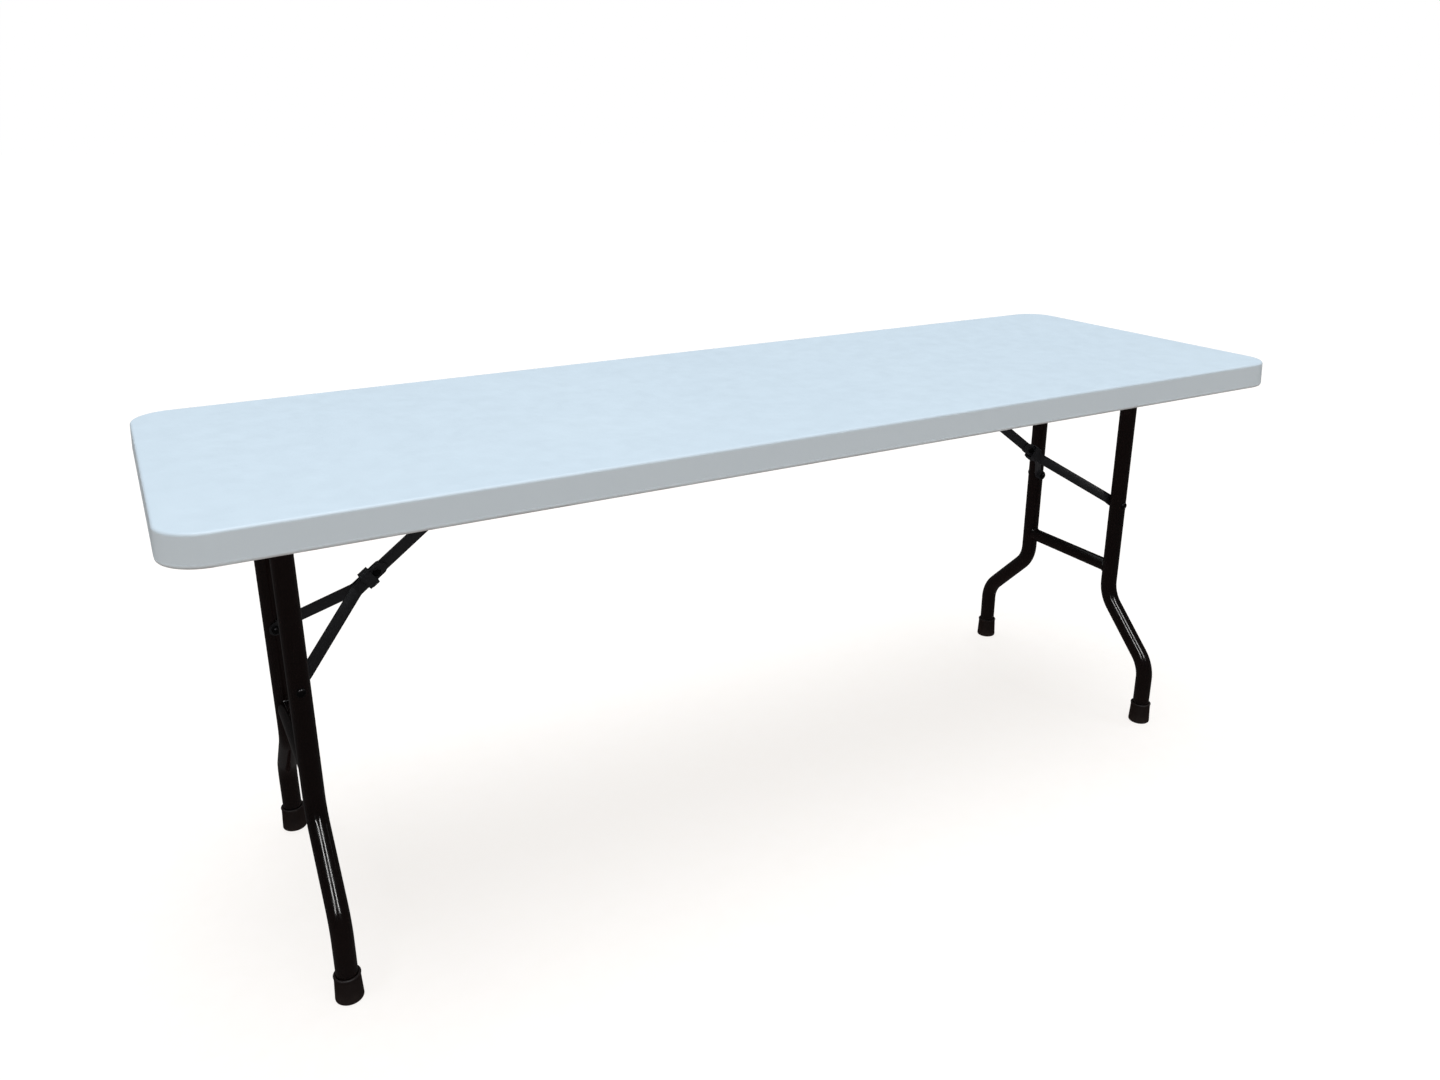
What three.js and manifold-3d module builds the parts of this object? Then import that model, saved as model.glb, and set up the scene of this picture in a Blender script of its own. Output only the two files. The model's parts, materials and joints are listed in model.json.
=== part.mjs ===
// Folding table: a blow-moulded plastic top on two tubular steel leg frames. Each frame turns on a tube under
// the top and is held upright by a Y-shaped brace: one upper link, two flat arms and a ring that slides over
// their joint.
//
// Millimetres, +X along the table to the right, +Y to the back, +Z up. The origin is on the floor under the
// middle of the top. The right leg set is built first, and the left one is the same set turned half a turn
// about Z.
import * as THREE from 'three';
import { mergeVertices } from 'three/addons/utils/BufferGeometryUtils.js';
import Module from 'manifold-3d';

const wasm = await Module();
wasm.setup();

// -------------------------------------------------------------------------------------- driving dimensions

const GAP = 0.3; // between pieces that touch

// Top
const TABLE_LENGTH = 1829;
const TABLE_WIDTH = 610;
const TABLE_HEIGHT = 726;
const TOP_THICKNESS = 42;
const CORNER_RADIUS = 58;
const EDGE_ROUND = 5;
const SKIRT_WALL = 9; // width of the rim that hangs round the underside
const UNDERSIDE_Z = 699; // underside of the top inside the rim
const SKIN = 3; // wall of the hollow moulding
const VENT_RADIUS = 5; // moulding vents, which also open the hollow
const TOP_CURVE_SEGMENTS = 4; // half the steps round each corner

// Leg frames
const LEG_PIVOT_X = 768;
const LEG_PIVOT_Z = 678;
const LEG_RADIUS = 15;
const TUBE_WALL = 1.5;
const LEG_UPPER_Y = 112;
const LEG_LOWER_Y = 224;
const LEG_BEND_TOP_Z = 231;
const LEG_BEND_LOW_Z = 119;
const LEG_BEND_RADIUS = 65;
const PIVOT_TUBE_RADIUS = 11;
const PIVOT_TUBE_HALF = 245;
const CROSSBAR_RADIUS = 12.5;
const CROSSBAR_Z = 288;
const CAP_HEIGHT = 40;
const CAP_FLOOR = 5;
const CAP_TOP_RADIUS = 18;
const CAP_FOOT_RADIUS = 19.5;
const CAP_FOOT_ROUND = 3; // rounding of the foot's edge
const CAP_LIP = 0.8; // how far the bead at the mouth stands out
const CAP_LIP_HEIGHT = 4;

// Brace: straight from the link pivot to the leg bolt when open
const BRACE_BOLT_Z = 422;
const LINK_PIVOT_X = 423.45;
const LINK_WIDTH = 17.6;
const LINK_THICKNESS = 4;
const LINK_TAIL = 13; // how far the link's last round centre lies past its joint with the arms
const ARM_WIDTH = 18.5;
const ARM_THICKNESS = 3;
const ARM_OVERHANG = 7; // how far the arms' upper round centre lies above that joint
const ARM_FORK = 38; // where the arms part, below the joint
const ARM_FLAT = 14; // length of the arm, above the bolt, that lies flat on the leg
const ARM_BEND_RADIUS = 9;
const RING_LENGTH = 16;
const RING_WALL = 1.7;
const RING_PLAY = 2.4; // room between ring and arms, which lets them turn as the ring slides off
const RING_PLACE = 14.5; // middle of the locked ring, below the joint
const RING_CORNER = 4;
const RING_INNER_CORNER = 2;
const RING_RIVET_ROOM = 0.5;
const RING_TAB_LENGTH = 12;
const RING_TAB_WIDTH = 10;
const RING_TAB_HEIGHT = 3;

// Fasteners
const PIN_RADIUS = 3;
const PIN_HOLE_RADIUS = 3.3;
const RIVET_HEAD_RADIUS = 6;
const RIVET_HEAD_HEIGHT = 2;
const RIVET_CROWN_RADIUS = 4.5;
const BOLT_HEAD_RADIUS = 6.5;
const BOLT_HEAD_HEIGHT = 3.6;
const BOLT_CROWN_RADIUS = 4.5;
const NUT_HEIGHT = 6;
const NUT_SHOULDER_HEIGHT = 4.2;
const NUT_CROWN_RADIUS = 3.5;
const SCREW_RADIUS = 2;
const SCREW_HOLE_RADIUS = 2.4;
const SCREW_HEAD_RADIUS = 4.2;
const SCREW_HEAD_HEIGHT = 2.4;
const SCREW_CROWN_RADIUS = 2.8;
const SCREW_LENGTH = 14;
const SCREW_TIP = 3;
const HEAD_EDGE = 0.6; // straight side of a low domed head

// Fittings under the top
const RAIL_INNER_Y = 262;
const RAIL_OUTER_Y = 282;
const RAIL_BOTTOM_Z = 677;
const RAIL_HALF_LENGTH = 812;
const RAIL_WALL = 1.5;
const RAIL_SCREWS_X = [-690, -240, 240, 690];
const BRACKET_Y = 238; // inner face of the upright plate that carries the pivot tube
const BRACKET_PLATE = 3;
const BRACKET_HALF_LENGTH = 30;
const BRACKET_ROUND = 16;
const BRACKET_FLANGE_Y = 216;
const BRACKET_SCREW_Y = 226;
const CLEVIS_EAR_Y = 2.5; // inner face of each ear
const CLEVIS_PLATE = 2;
const CLEVIS_ROUND = 10.5;
const CLEVIS_HALF_LENGTH = 35;
const CLEVIS_HALF_WIDTH = 14;
const CLEVIS_SCREW_X = 26;

// ----------------------------------------------------------------------------------------------- materials

function finish(color, roughness, metalness) {
  return new THREE.MeshStandardMaterial({ color, roughness, metalness });
}

const whitePlastic = () => finish(0xe6edf2, 0.55, 0);
const blackTube = () => finish(0x0c0a0b, 0.3, 0.6);
const blackStrap = () => finish(0x141518, 0.4, 0.6);
const darkRubber = () => finish(0x1c1412, 0.75, 0);
const greySteel = () => finish(0x6d6f72, 0.4, 0.9);
const blackPlate = () => finish(0x3a393b, 0.3, 1);

// ------------------------------------------------------------------------------------------- shared shapes

// A closed three.js geometry as a solid that can be joined and cut.
function toSolid(geometry) {
  const bare = geometry.clone();
  bare.deleteAttribute('normal');
  bare.deleteAttribute('uv');
  const merged = mergeVertices(bare, 1e-4);
  const mesh = new wasm.Mesh({
    numProp: 3,
    vertProperties: new Float32Array(merged.attributes.position.array),
    triVerts: new Uint32Array(merged.index.array),
  });
  return new wasm.Manifold(mesh);
}

function toGeometry(solid) {
  const mesh = solid.getMesh();
  const geometry = new THREE.BufferGeometry();
  geometry.setAttribute('position', new THREE.BufferAttribute(mesh.vertProperties, 3));
  geometry.setIndex(new THREE.BufferAttribute(mesh.triVerts, 1));
  return geometry;
}

function cut(geometry, ...tools) {
  return toGeometry(tools.reduce((solid, tool) => solid.subtract(toSolid(tool)), toSolid(geometry)));
}

// A flat plate of a shape drawn in X and Y, from z = low up to z = high.
function plate(shape, low, high, curveSegments = 4) {
  const settings = { depth: high - low, bevelEnabled: false, curveSegments };
  return new THREE.ExtrudeGeometry(shape, settings).translate(0, 0, low);
}

// A plate of a shape drawn in X and Z, from y = low to y = high.
function uprightPlate(shape, low, high, curveSegments = 4) {
  return plate(shape, -high, -low, curveSegments).rotateX(Math.PI / 2);
}

// A round tool along Y or Z, from start to end, that leaves a hole at least this big across its flats.
function roundHole(radius, axis, start, end, sides = 12) {
  const corner = radius / Math.cos(Math.PI / sides);
  const bar = new THREE.CylinderGeometry(corner, corner, end - start, sides);
  bar.translate(0, (start + end) / 2, 0);
  return axis === 'z' ? bar.rotateX(Math.PI / 2) : bar;
}

// A solid of revolution about Y, from [radius, height] points that start and end on the axis.
function turned(profile, sides = 10) {
  return new THREE.LatheGeometry(profile.map(([radius, height]) => new THREE.Vector2(radius, height)), sides);
}

function roundedRectangle(halfLength, halfWidth, radius) {
  const shape = new THREE.Shape();
  const [x, y] = [halfLength - radius, halfWidth - radius];
  shape.absarc(x, y, radius, 0, Math.PI / 2);
  shape.absarc(-x, y, radius, Math.PI / 2, Math.PI);
  shape.absarc(-x, -y, radius, Math.PI, 1.5 * Math.PI);
  shape.absarc(x, -y, radius, 1.5 * Math.PI, 2 * Math.PI);
  return shape;
}

// A flat bar with round ends between two centres on the X axis, and round holes on that axis.
function roundEndedBar(from, to, width, holes = []) {
  const shape = new THREE.Shape();
  shape.absarc(to, 0, width / 2, -Math.PI / 2, Math.PI / 2);
  shape.absarc(from, 0, width / 2, Math.PI / 2, 1.5 * Math.PI);
  for (const x of holes) {
    shape.holes.push(new THREE.Path().absarc(x, 0, PIN_HOLE_RADIUS, 0, 2 * Math.PI, true));
  }
  return shape;
}

// The stations of a route with rounded corners: the ends of its straight runs and the steps round its bends.
function roundedRoute(corners, radius, steps) {
  const stations = [];
  const add = (point, tangent) => stations.push({ point, tangent });
  const heading = (a, b) => b.clone().sub(a).normalize();
  add(corners[0], heading(corners[0], corners[1]));
  for (let i = 1; i < corners.length - 1; i++) {
    const before = heading(corners[i - 1], corners[i]);
    const after = heading(corners[i], corners[i + 1]);
    const turn = before.angleTo(after);
    const tangentLength = radius * Math.tan(turn / 2);
    const start = corners[i].clone().addScaledVector(before, -tangentLength);
    const inward = after.clone().addScaledVector(before, -after.dot(before)).normalize();
    for (let step = 0; step <= steps; step++) {
      const angle = (turn * step) / steps;
      const point = start.clone().addScaledVector(before, radius * Math.sin(angle));
      point.addScaledVector(inward, radius * (1 - Math.cos(angle)));
      const tangent = before.clone().multiplyScalar(Math.cos(angle)).addScaledVector(inward, Math.sin(angle));
      add(point, tangent);
    }
  }
  const [nearEnd, end] = corners.slice(-2);
  add(end, heading(nearEnd, end));
  return stations;
}

// A curve that three.js can extrude along, stepping from station to station.
class StationCurve extends THREE.Curve {
  constructor(stations) {
    super();
    this.stations = stations;
  }
  stationAt(u) {
    return this.stations[Math.round(u * (this.stations.length - 1))];
  }
  getPointAt(u) {
    return this.stationAt(u).point.clone();
  }
  getTangentAt(u) {
    return this.stationAt(u).tangent.clone();
  }
}

// A hollow tube along a route.
function bentTube(stations, radius, wall, sides = 12) {
  const ring = new THREE.Shape(circlePoints(radius, sides));
  ring.holes.push(new THREE.Path(circlePoints(radius - wall, sides).reverse()));
  const extrudePath = new StationCurve(stations);
  return new THREE.ExtrudeGeometry(ring, { steps: stations.length - 1, extrudePath, bevelEnabled: false });
}

function circlePoints(radius, sides) {
  return Array.from({ length: sides }, (_, i) => {
    const angle = (2 * Math.PI * (i + 0.5)) / sides;
    return new THREE.Vector2(radius * Math.cos(angle), radius * Math.sin(angle));
  });
}

function straightTube(radius, wall, from, to) {
  return bentTube(roundedRoute([from, to], 0, 1), radius, wall);
}

// ------------------------------------------------------------------------------------------------ assembly

const table = new THREE.Group();

function addMesh(group, name, geometry, material) {
  const mesh = new THREE.Mesh(geometry, material);
  mesh.name = name;
  group.add(mesh);
  return mesh;
}

// ----------------------------------------------------------------------------------------------------- top

const railScrewY = (RAIL_INNER_Y + RAIL_OUTER_Y) / 2;
const screwPlaces = [];
for (const [end, endSign] of [['left', -1], ['right', 1]]) {
  for (const [edge, edgeSign] of [['near', -1], ['far', 1]]) {
    screwPlaces.push({
      name: `screw_pivot_bracket_${end}_${edge}`,
      x: endSign * LEG_PIVOT_X,
      y: edgeSign * BRACKET_SCREW_Y,
      under: UNDERSIDE_Z - GAP - BRACKET_PLATE,
    });
  }
  for (const [place, offset] of [['inner', -CLEVIS_SCREW_X], ['outer', CLEVIS_SCREW_X]]) {
    screwPlaces.push({
      name: `screw_link_bracket_${end}_${place}`,
      x: endSign * (LINK_PIVOT_X + offset),
      y: 0,
      under: UNDERSIDE_Z - GAP - CLEVIS_PLATE,
    });
  }
}
for (const [edge, edgeSign] of [['near', -1], ['far', 1]]) {
  RAIL_SCREWS_X.forEach((x, i) => {
    screwPlaces.push({
      name: `screw_rail_${edge}_${i + 1}`,
      x,
      y: edgeSign * railScrewY,
      under: UNDERSIDE_Z - GAP - RAIL_WALL,
    });
  });
}

function makeTabletop() {
  const outline = roundedRectangle(TABLE_LENGTH / 2, TABLE_WIDTH / 2, CORNER_RADIUS);
  const body = new THREE.ExtrudeGeometry(outline, {
    depth: TOP_THICKNESS - 2 * EDGE_ROUND,
    bevelEnabled: true,
    bevelThickness: EDGE_ROUND,
    bevelSize: EDGE_ROUND,
    bevelOffset: -EDGE_ROUND,
    bevelSegments: 2,
    curveSegments: TOP_CURVE_SEGMENTS,
  });
  body.translate(0, 0, TABLE_HEIGHT - TOP_THICKNESS + EDGE_ROUND);
  const inset = (wall) =>
    roundedRectangle(TABLE_LENGTH / 2 - wall, TABLE_WIDTH / 2 - wall, CORNER_RADIUS - wall);
  const recess = plate(inset(SKIRT_WALL), TABLE_HEIGHT - TOP_THICKNESS - 1, UNDERSIDE_Z, TOP_CURVE_SEGMENTS);
  const hollow = plate(inset(2 * SKIN), UNDERSIDE_Z + SKIN, TABLE_HEIGHT - SKIN, TOP_CURVE_SEGMENTS);
  const wallHole = (radius, x, y) =>
    roundHole(radius, 'z', UNDERSIDE_Z - 1, UNDERSIDE_Z + SKIN + 1, 6).translate(x, y, 0);
  const [ventX, ventY] = [TABLE_LENGTH / 2 - CORNER_RADIUS, TABLE_WIDTH / 4];
  const quarters = [[1, 1], [-1, 1], [-1, -1], [1, -1]];
  const vents = quarters.map(([i, j]) => wallHole(VENT_RADIUS, i * ventX, j * ventY));
  const screwHoles = screwPlaces.map(({ x, y }) => wallHole(SCREW_HOLE_RADIUS, x, y));
  return cut(body, recess, hollow, ...vents, ...screwHoles);
}

addMesh(table, 'tabletop', makeTabletop(), whitePlastic());

// ------------------------------------------------------------------------------ rails, brackets and screws

// A rail is a channel, open downwards, that lies along the underside and stiffens the top.
function makeRail(sign) {
  const top = UNDERSIDE_Z - GAP;
  const profile = new THREE.Shape();
  profile.moveTo(RAIL_INNER_Y, RAIL_BOTTOM_Z);
  profile.lineTo(RAIL_INNER_Y, top);
  profile.lineTo(RAIL_OUTER_Y, top);
  profile.lineTo(RAIL_OUTER_Y, RAIL_BOTTOM_Z);
  profile.lineTo(RAIL_OUTER_Y - RAIL_WALL, RAIL_BOTTOM_Z);
  profile.lineTo(RAIL_OUTER_Y - RAIL_WALL, top - RAIL_WALL);
  profile.lineTo(RAIL_INNER_Y + RAIL_WALL, top - RAIL_WALL);
  profile.lineTo(RAIL_INNER_Y + RAIL_WALL, RAIL_BOTTOM_Z);
  const channel = plate(profile, -RAIL_HALF_LENGTH, RAIL_HALF_LENGTH);
  channel.rotateX(Math.PI / 2).rotateZ(Math.PI / 2);
  if (sign < 0) channel.rotateZ(Math.PI);
  const holes = RAIL_SCREWS_X.map((x) =>
    roundHole(SCREW_HOLE_RADIUS, 'z', top - 2 * RAIL_WALL, top + 1, 6).translate(x, sign * railScrewY, 0));
  return cut(channel, ...holes);
}

// The bracket that carries one end of a pivot tube: an upright plate with a hole, and a flange under the top.
function makePivotBracket() {
  const top = UNDERSIDE_Z - GAP;
  const upright = new THREE.Shape();
  upright.absarc(0, LEG_PIVOT_Z, BRACKET_ROUND, Math.PI, 2 * Math.PI);
  upright.lineTo(BRACKET_HALF_LENGTH, top - BRACKET_PLATE);
  upright.lineTo(BRACKET_HALF_LENGTH, top);
  upright.lineTo(-BRACKET_HALF_LENGTH, top);
  upright.lineTo(-BRACKET_HALF_LENGTH, top - BRACKET_PLATE);
  const flangeWidth = BRACKET_Y - BRACKET_FLANGE_Y + 1;
  const flange = new THREE.BoxGeometry(2 * BRACKET_HALF_LENGTH, flangeWidth, BRACKET_PLATE);
  flange.translate(0, BRACKET_FLANGE_Y + flangeWidth / 2, top - BRACKET_PLATE / 2);
  const body = toSolid(uprightPlate(upright, BRACKET_Y, BRACKET_Y + BRACKET_PLATE)).add(toSolid(flange));
  const tubeHole = roundHole(PIVOT_TUBE_RADIUS + 2 * GAP, 'y', BRACKET_Y - 2, BRACKET_Y + BRACKET_PLATE + 2);
  const screwHole = roundHole(SCREW_HOLE_RADIUS, 'z', top - 2 * BRACKET_PLATE, top + 1, 6);
  return toGeometry(body.subtract(toSolid(tubeHole.translate(0, 0, LEG_PIVOT_Z)))
    .subtract(toSolid(screwHole.translate(0, BRACKET_SCREW_Y, 0))));
}

// The bracket that the upper link hangs from: a base under the top and two ears with a pin between them.
function makeLinkBracket() {
  const top = UNDERSIDE_Z - GAP;
  const base = new THREE.BoxGeometry(2 * CLEVIS_HALF_LENGTH, 2 * CLEVIS_HALF_WIDTH, CLEVIS_PLATE);
  let body = toSolid(base.translate(0, 0, top - CLEVIS_PLATE / 2));
  const ear = new THREE.Shape();
  ear.absarc(0, LEG_PIVOT_Z, CLEVIS_ROUND, Math.PI, 2 * Math.PI);
  ear.lineTo(CLEVIS_ROUND, top - CLEVIS_PLATE / 2);
  ear.lineTo(-CLEVIS_ROUND, top - CLEVIS_PLATE / 2);
  for (const low of [CLEVIS_EAR_Y, -CLEVIS_EAR_Y - CLEVIS_PLATE]) {
    body = body.add(toSolid(uprightPlate(ear, low, low + CLEVIS_PLATE)));
  }
  const pinHole = roundHole(PIN_HOLE_RADIUS, 'y', -CLEVIS_HALF_WIDTH, CLEVIS_HALF_WIDTH, 12);
  body = body.subtract(toSolid(pinHole.translate(0, 0, LEG_PIVOT_Z)));
  for (const x of [-CLEVIS_SCREW_X, CLEVIS_SCREW_X]) {
    const screwHole = roundHole(SCREW_HOLE_RADIUS, 'z', top - 2 * CLEVIS_PLATE, top + 1, 6);
    body = body.subtract(toSolid(screwHole.translate(x, 0, 0)));
  }
  return toGeometry(body);
}

// A pan-head screw that points up, with the seat of its head at z = 0.
function makeScrew() {
  const profile = [
    [0, -SCREW_HEAD_HEIGHT],
    [SCREW_CROWN_RADIUS, -SCREW_HEAD_HEIGHT],
    [SCREW_HEAD_RADIUS, -HEAD_EDGE],
    [SCREW_HEAD_RADIUS, 0],
    [SCREW_RADIUS, 0],
    [SCREW_RADIUS, SCREW_LENGTH - SCREW_TIP],
    [0, SCREW_LENGTH],
  ];
  return turned(profile, 8).rotateX(Math.PI / 2);
}

// A pin along Y with a head at each end, whose heads start at y = -grip and y = grip.
function makeHeadedPin(grip) {
  const profile = [
    [0, -grip - RIVET_HEAD_HEIGHT],
    [RIVET_CROWN_RADIUS, -grip - RIVET_HEAD_HEIGHT],
    [RIVET_HEAD_RADIUS, -grip - HEAD_EDGE],
    [RIVET_HEAD_RADIUS, -grip],
    [PIN_RADIUS, -grip],
    [PIN_RADIUS, grip],
    [RIVET_HEAD_RADIUS, grip],
    [RIVET_HEAD_RADIUS, grip + HEAD_EDGE],
    [RIVET_CROWN_RADIUS, grip + RIVET_HEAD_HEIGHT],
    [0, grip + RIVET_HEAD_HEIGHT],
  ];
  return turned(profile);
}

for (const [edge, sign] of [['near', -1], ['far', 1]]) {
  addMesh(table, `side_rail_${edge}`, makeRail(sign), blackStrap());
}
for (const { name, x, y, under } of screwPlaces) {
  addMesh(table, name, makeScrew(), greySteel()).position.set(x, y, under - GAP);
}

// ------------------------------------------------------------------------------------------------- leg set

const legPoint = (y, z) => new THREE.Vector3(0, y, z);

// One leg, in the plane x = 0 at y > 0: straight, out at 45 degrees, and straight down to the floor.
function makeLeg() {
  const corners = [
    legPoint(LEG_UPPER_Y, LEG_PIVOT_Z),
    legPoint(LEG_UPPER_Y, LEG_BEND_TOP_Z),
    legPoint(LEG_LOWER_Y, LEG_BEND_LOW_Z),
    legPoint(LEG_LOWER_Y, CAP_FLOOR + GAP),
  ];
  const tube = bentTube(roundedRoute(corners, LEG_BEND_RADIUS, 3), LEG_RADIUS, TUBE_WALL);
  const pivotCope = roundHole(PIVOT_TUBE_RADIUS + GAP, 'y', 0, RAIL_INNER_Y).translate(0, 0, LEG_PIVOT_Z);
  const boltHole = roundHole(PIN_HOLE_RADIUS, 'y', 0, RAIL_INNER_Y, 12).translate(0, 0, BRACE_BOLT_Z);
  return cut(tube, pivotCope, boltHole);
}

// The bar that joins the two legs, with its ends hollowed to fit round them.
function makeCrossbar() {
  const end = legPoint(LEG_UPPER_Y - LEG_RADIUS / 2, CROSSBAR_Z);
  const start = legPoint(-end.y, CROSSBAR_Z);
  const [low, high] = [CROSSBAR_Z - 2 * LEG_RADIUS, CROSSBAR_Z + 2 * LEG_RADIUS];
  const copes = [-LEG_UPPER_Y, LEG_UPPER_Y].map((y) =>
    roundHole(LEG_RADIUS + GAP, 'z', low, high).translate(0, y, 0));
  return cut(straightTube(CROSSBAR_RADIUS, TUBE_WALL, start, end), ...copes);
}

function makeFootCap() {
  const bore = LEG_RADIUS + GAP;
  const profile = [
    [0, 0],
    [CAP_FOOT_RADIUS - CAP_FOOT_ROUND, 0],
    [CAP_FOOT_RADIUS - 0.3 * CAP_FOOT_ROUND, 0.3 * CAP_FOOT_ROUND],
    [CAP_FOOT_RADIUS, CAP_FOOT_ROUND],
    [CAP_TOP_RADIUS, CAP_HEIGHT - CAP_LIP_HEIGHT],
    [CAP_TOP_RADIUS + CAP_LIP, CAP_HEIGHT - CAP_LIP_HEIGHT + CAP_LIP],
    [CAP_TOP_RADIUS + CAP_LIP, CAP_HEIGHT - CAP_LIP],
    [CAP_TOP_RADIUS, CAP_HEIGHT],
    [bore, CAP_HEIGHT],
    [bore, CAP_FLOOR],
    [0, CAP_FLOOR],
  ];
  return turned(profile, 16).rotateX(Math.PI / 2);
}

// The bolt through a leg, along +Y: its head is outside the leg and its shank ends at the leg's inner side.
function makeLegBolt() {
  const seat = LEG_UPPER_Y + LEG_RADIUS + GAP;
  const shankEnd = LEG_UPPER_Y - LEG_RADIUS + GAP;
  const profile = [
    [0, shankEnd],
    [PIN_RADIUS, shankEnd],
    [PIN_RADIUS, seat],
    [BOLT_HEAD_RADIUS, seat],
    [BOLT_HEAD_RADIUS, seat + HEAD_EDGE],
    [BOLT_CROWN_RADIUS, seat + BOLT_HEAD_HEIGHT - HEAD_EDGE],
    [0, seat + BOLT_HEAD_HEIGHT],
  ];
  return turned(profile);
}

// --------------------------------------------------------------------------------------------------- brace
// The brace is drawn along +X from the joint of link and arms (x = 0) down to the leg bolt, with its width
// along Z.

const braceRun = LEG_PIVOT_X - LINK_PIVOT_X;
const braceRise = LEG_PIVOT_Z - BRACE_BOLT_Z;
const braceLength = Math.hypot(braceRun, braceRise);
const braceSlope = Math.atan2(braceRise, braceRun);
// Folded, the leg bolt lies on the line of the two upper pivots, and link and arms lie flat along each other.
const foldedSpan = LEG_PIVOT_X - braceRise - LINK_PIVOT_X;
const linkLength = (braceLength + foldedSpan) / 2;
const armLength = braceLength - linkLength;

const armInnerY = LINK_THICKNESS / 2 + GAP;
const armUpperY = armInnerY + ARM_THICKNESS / 2;
const armLowerY = LEG_UPPER_Y - LEG_RADIUS - GAP - ARM_THICKNESS / 2;

function makeLink() {
  const bar = roundEndedBar(-linkLength, LINK_TAIL, LINK_WIDTH, [-linkLength, 0]);
  return uprightPlate(bar, -LINK_THICKNESS / 2, LINK_THICKNESS / 2);
}

// One arm, at y > 0: a strap that lies on the link, parts from it at the fork and lies flat again on the leg.
function makeArm() {
  const reach = ARM_WIDTH / 2;
  const corners = [
    new THREE.Vector3(-ARM_OVERHANG - reach, armUpperY, 0),
    new THREE.Vector3(ARM_FORK, armUpperY, 0),
    new THREE.Vector3(armLength - ARM_FLAT, armLowerY, 0),
    new THREE.Vector3(armLength + reach, armLowerY, 0),
  ];
  const stations = roundedRoute(corners, ARM_BEND_RADIUS, 3);
  const edge = (side) => stations.map(({ point, tangent }) =>
    new THREE.Vector2(point.x - side * tangent.y, point.y + side * tangent.x));
  const strap = new THREE.Shape([...edge(ARM_THICKNESS / 2), ...edge(-ARM_THICKNESS / 2).reverse()]);
  const rounded = roundEndedBar(-ARM_OVERHANG, armLength, ARM_WIDTH, [0, armLength]);
  const solid = toSolid(plate(strap, -ARM_WIDTH, ARM_WIDTH));
  return toGeometry(solid.intersect(toSolid(uprightPlate(rounded, 0, LEG_UPPER_Y))));
}

// The nut of a leg bolt, on the arm's inner side, with the end of the thread in the arm's hole.
function makeLegNut() {
  const seat = armLowerY - ARM_THICKNESS / 2 - GAP;
  const profile = [
    [0, seat - NUT_HEIGHT],
    [NUT_CROWN_RADIUS, seat - NUT_HEIGHT],
    [BOLT_HEAD_RADIUS, seat - NUT_SHOULDER_HEIGHT],
    [BOLT_HEAD_RADIUS, seat],
    [PIN_RADIUS, seat],
    [PIN_RADIUS, armLowerY + ARM_THICKNESS / 2],
    [0, armLowerY + ARM_THICKNESS / 2],
  ];
  return turned(profile);
}

// The lock ring: a short square sleeve round link and arms, with a finger tab on its lower side.
function makeLockRing() {
  const halfHeight = ARM_WIDTH / 2 + RING_PLAY;
  const halfWidth = armInnerY + ARM_THICKNESS + GAP + RIVET_HEAD_HEIGHT + RING_RIVET_ROOM;
  const outer = roundedRectangle(halfHeight + RING_WALL, halfWidth + RING_WALL, RING_CORNER);
  const hole = roundedRectangle(halfHeight, halfWidth, RING_INNER_CORNER);
  outer.holes.push(new THREE.Path(hole.getPoints(3).reverse()));
  const sleeve = plate(outer, -RING_LENGTH / 2, RING_LENGTH / 2, 3).rotateY(Math.PI / 2);
  const tab = new THREE.BoxGeometry(RING_TAB_LENGTH, RING_TAB_WIDTH, RING_TAB_HEIGHT);
  tab.translate((RING_TAB_LENGTH - RING_LENGTH) / 2, 0, -halfHeight - RING_WALL);
  return toGeometry(toSolid(sleeve).add(toSolid(tab)));
}

// ---------------------------------------------------------------------------------------- the two leg sets

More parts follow.
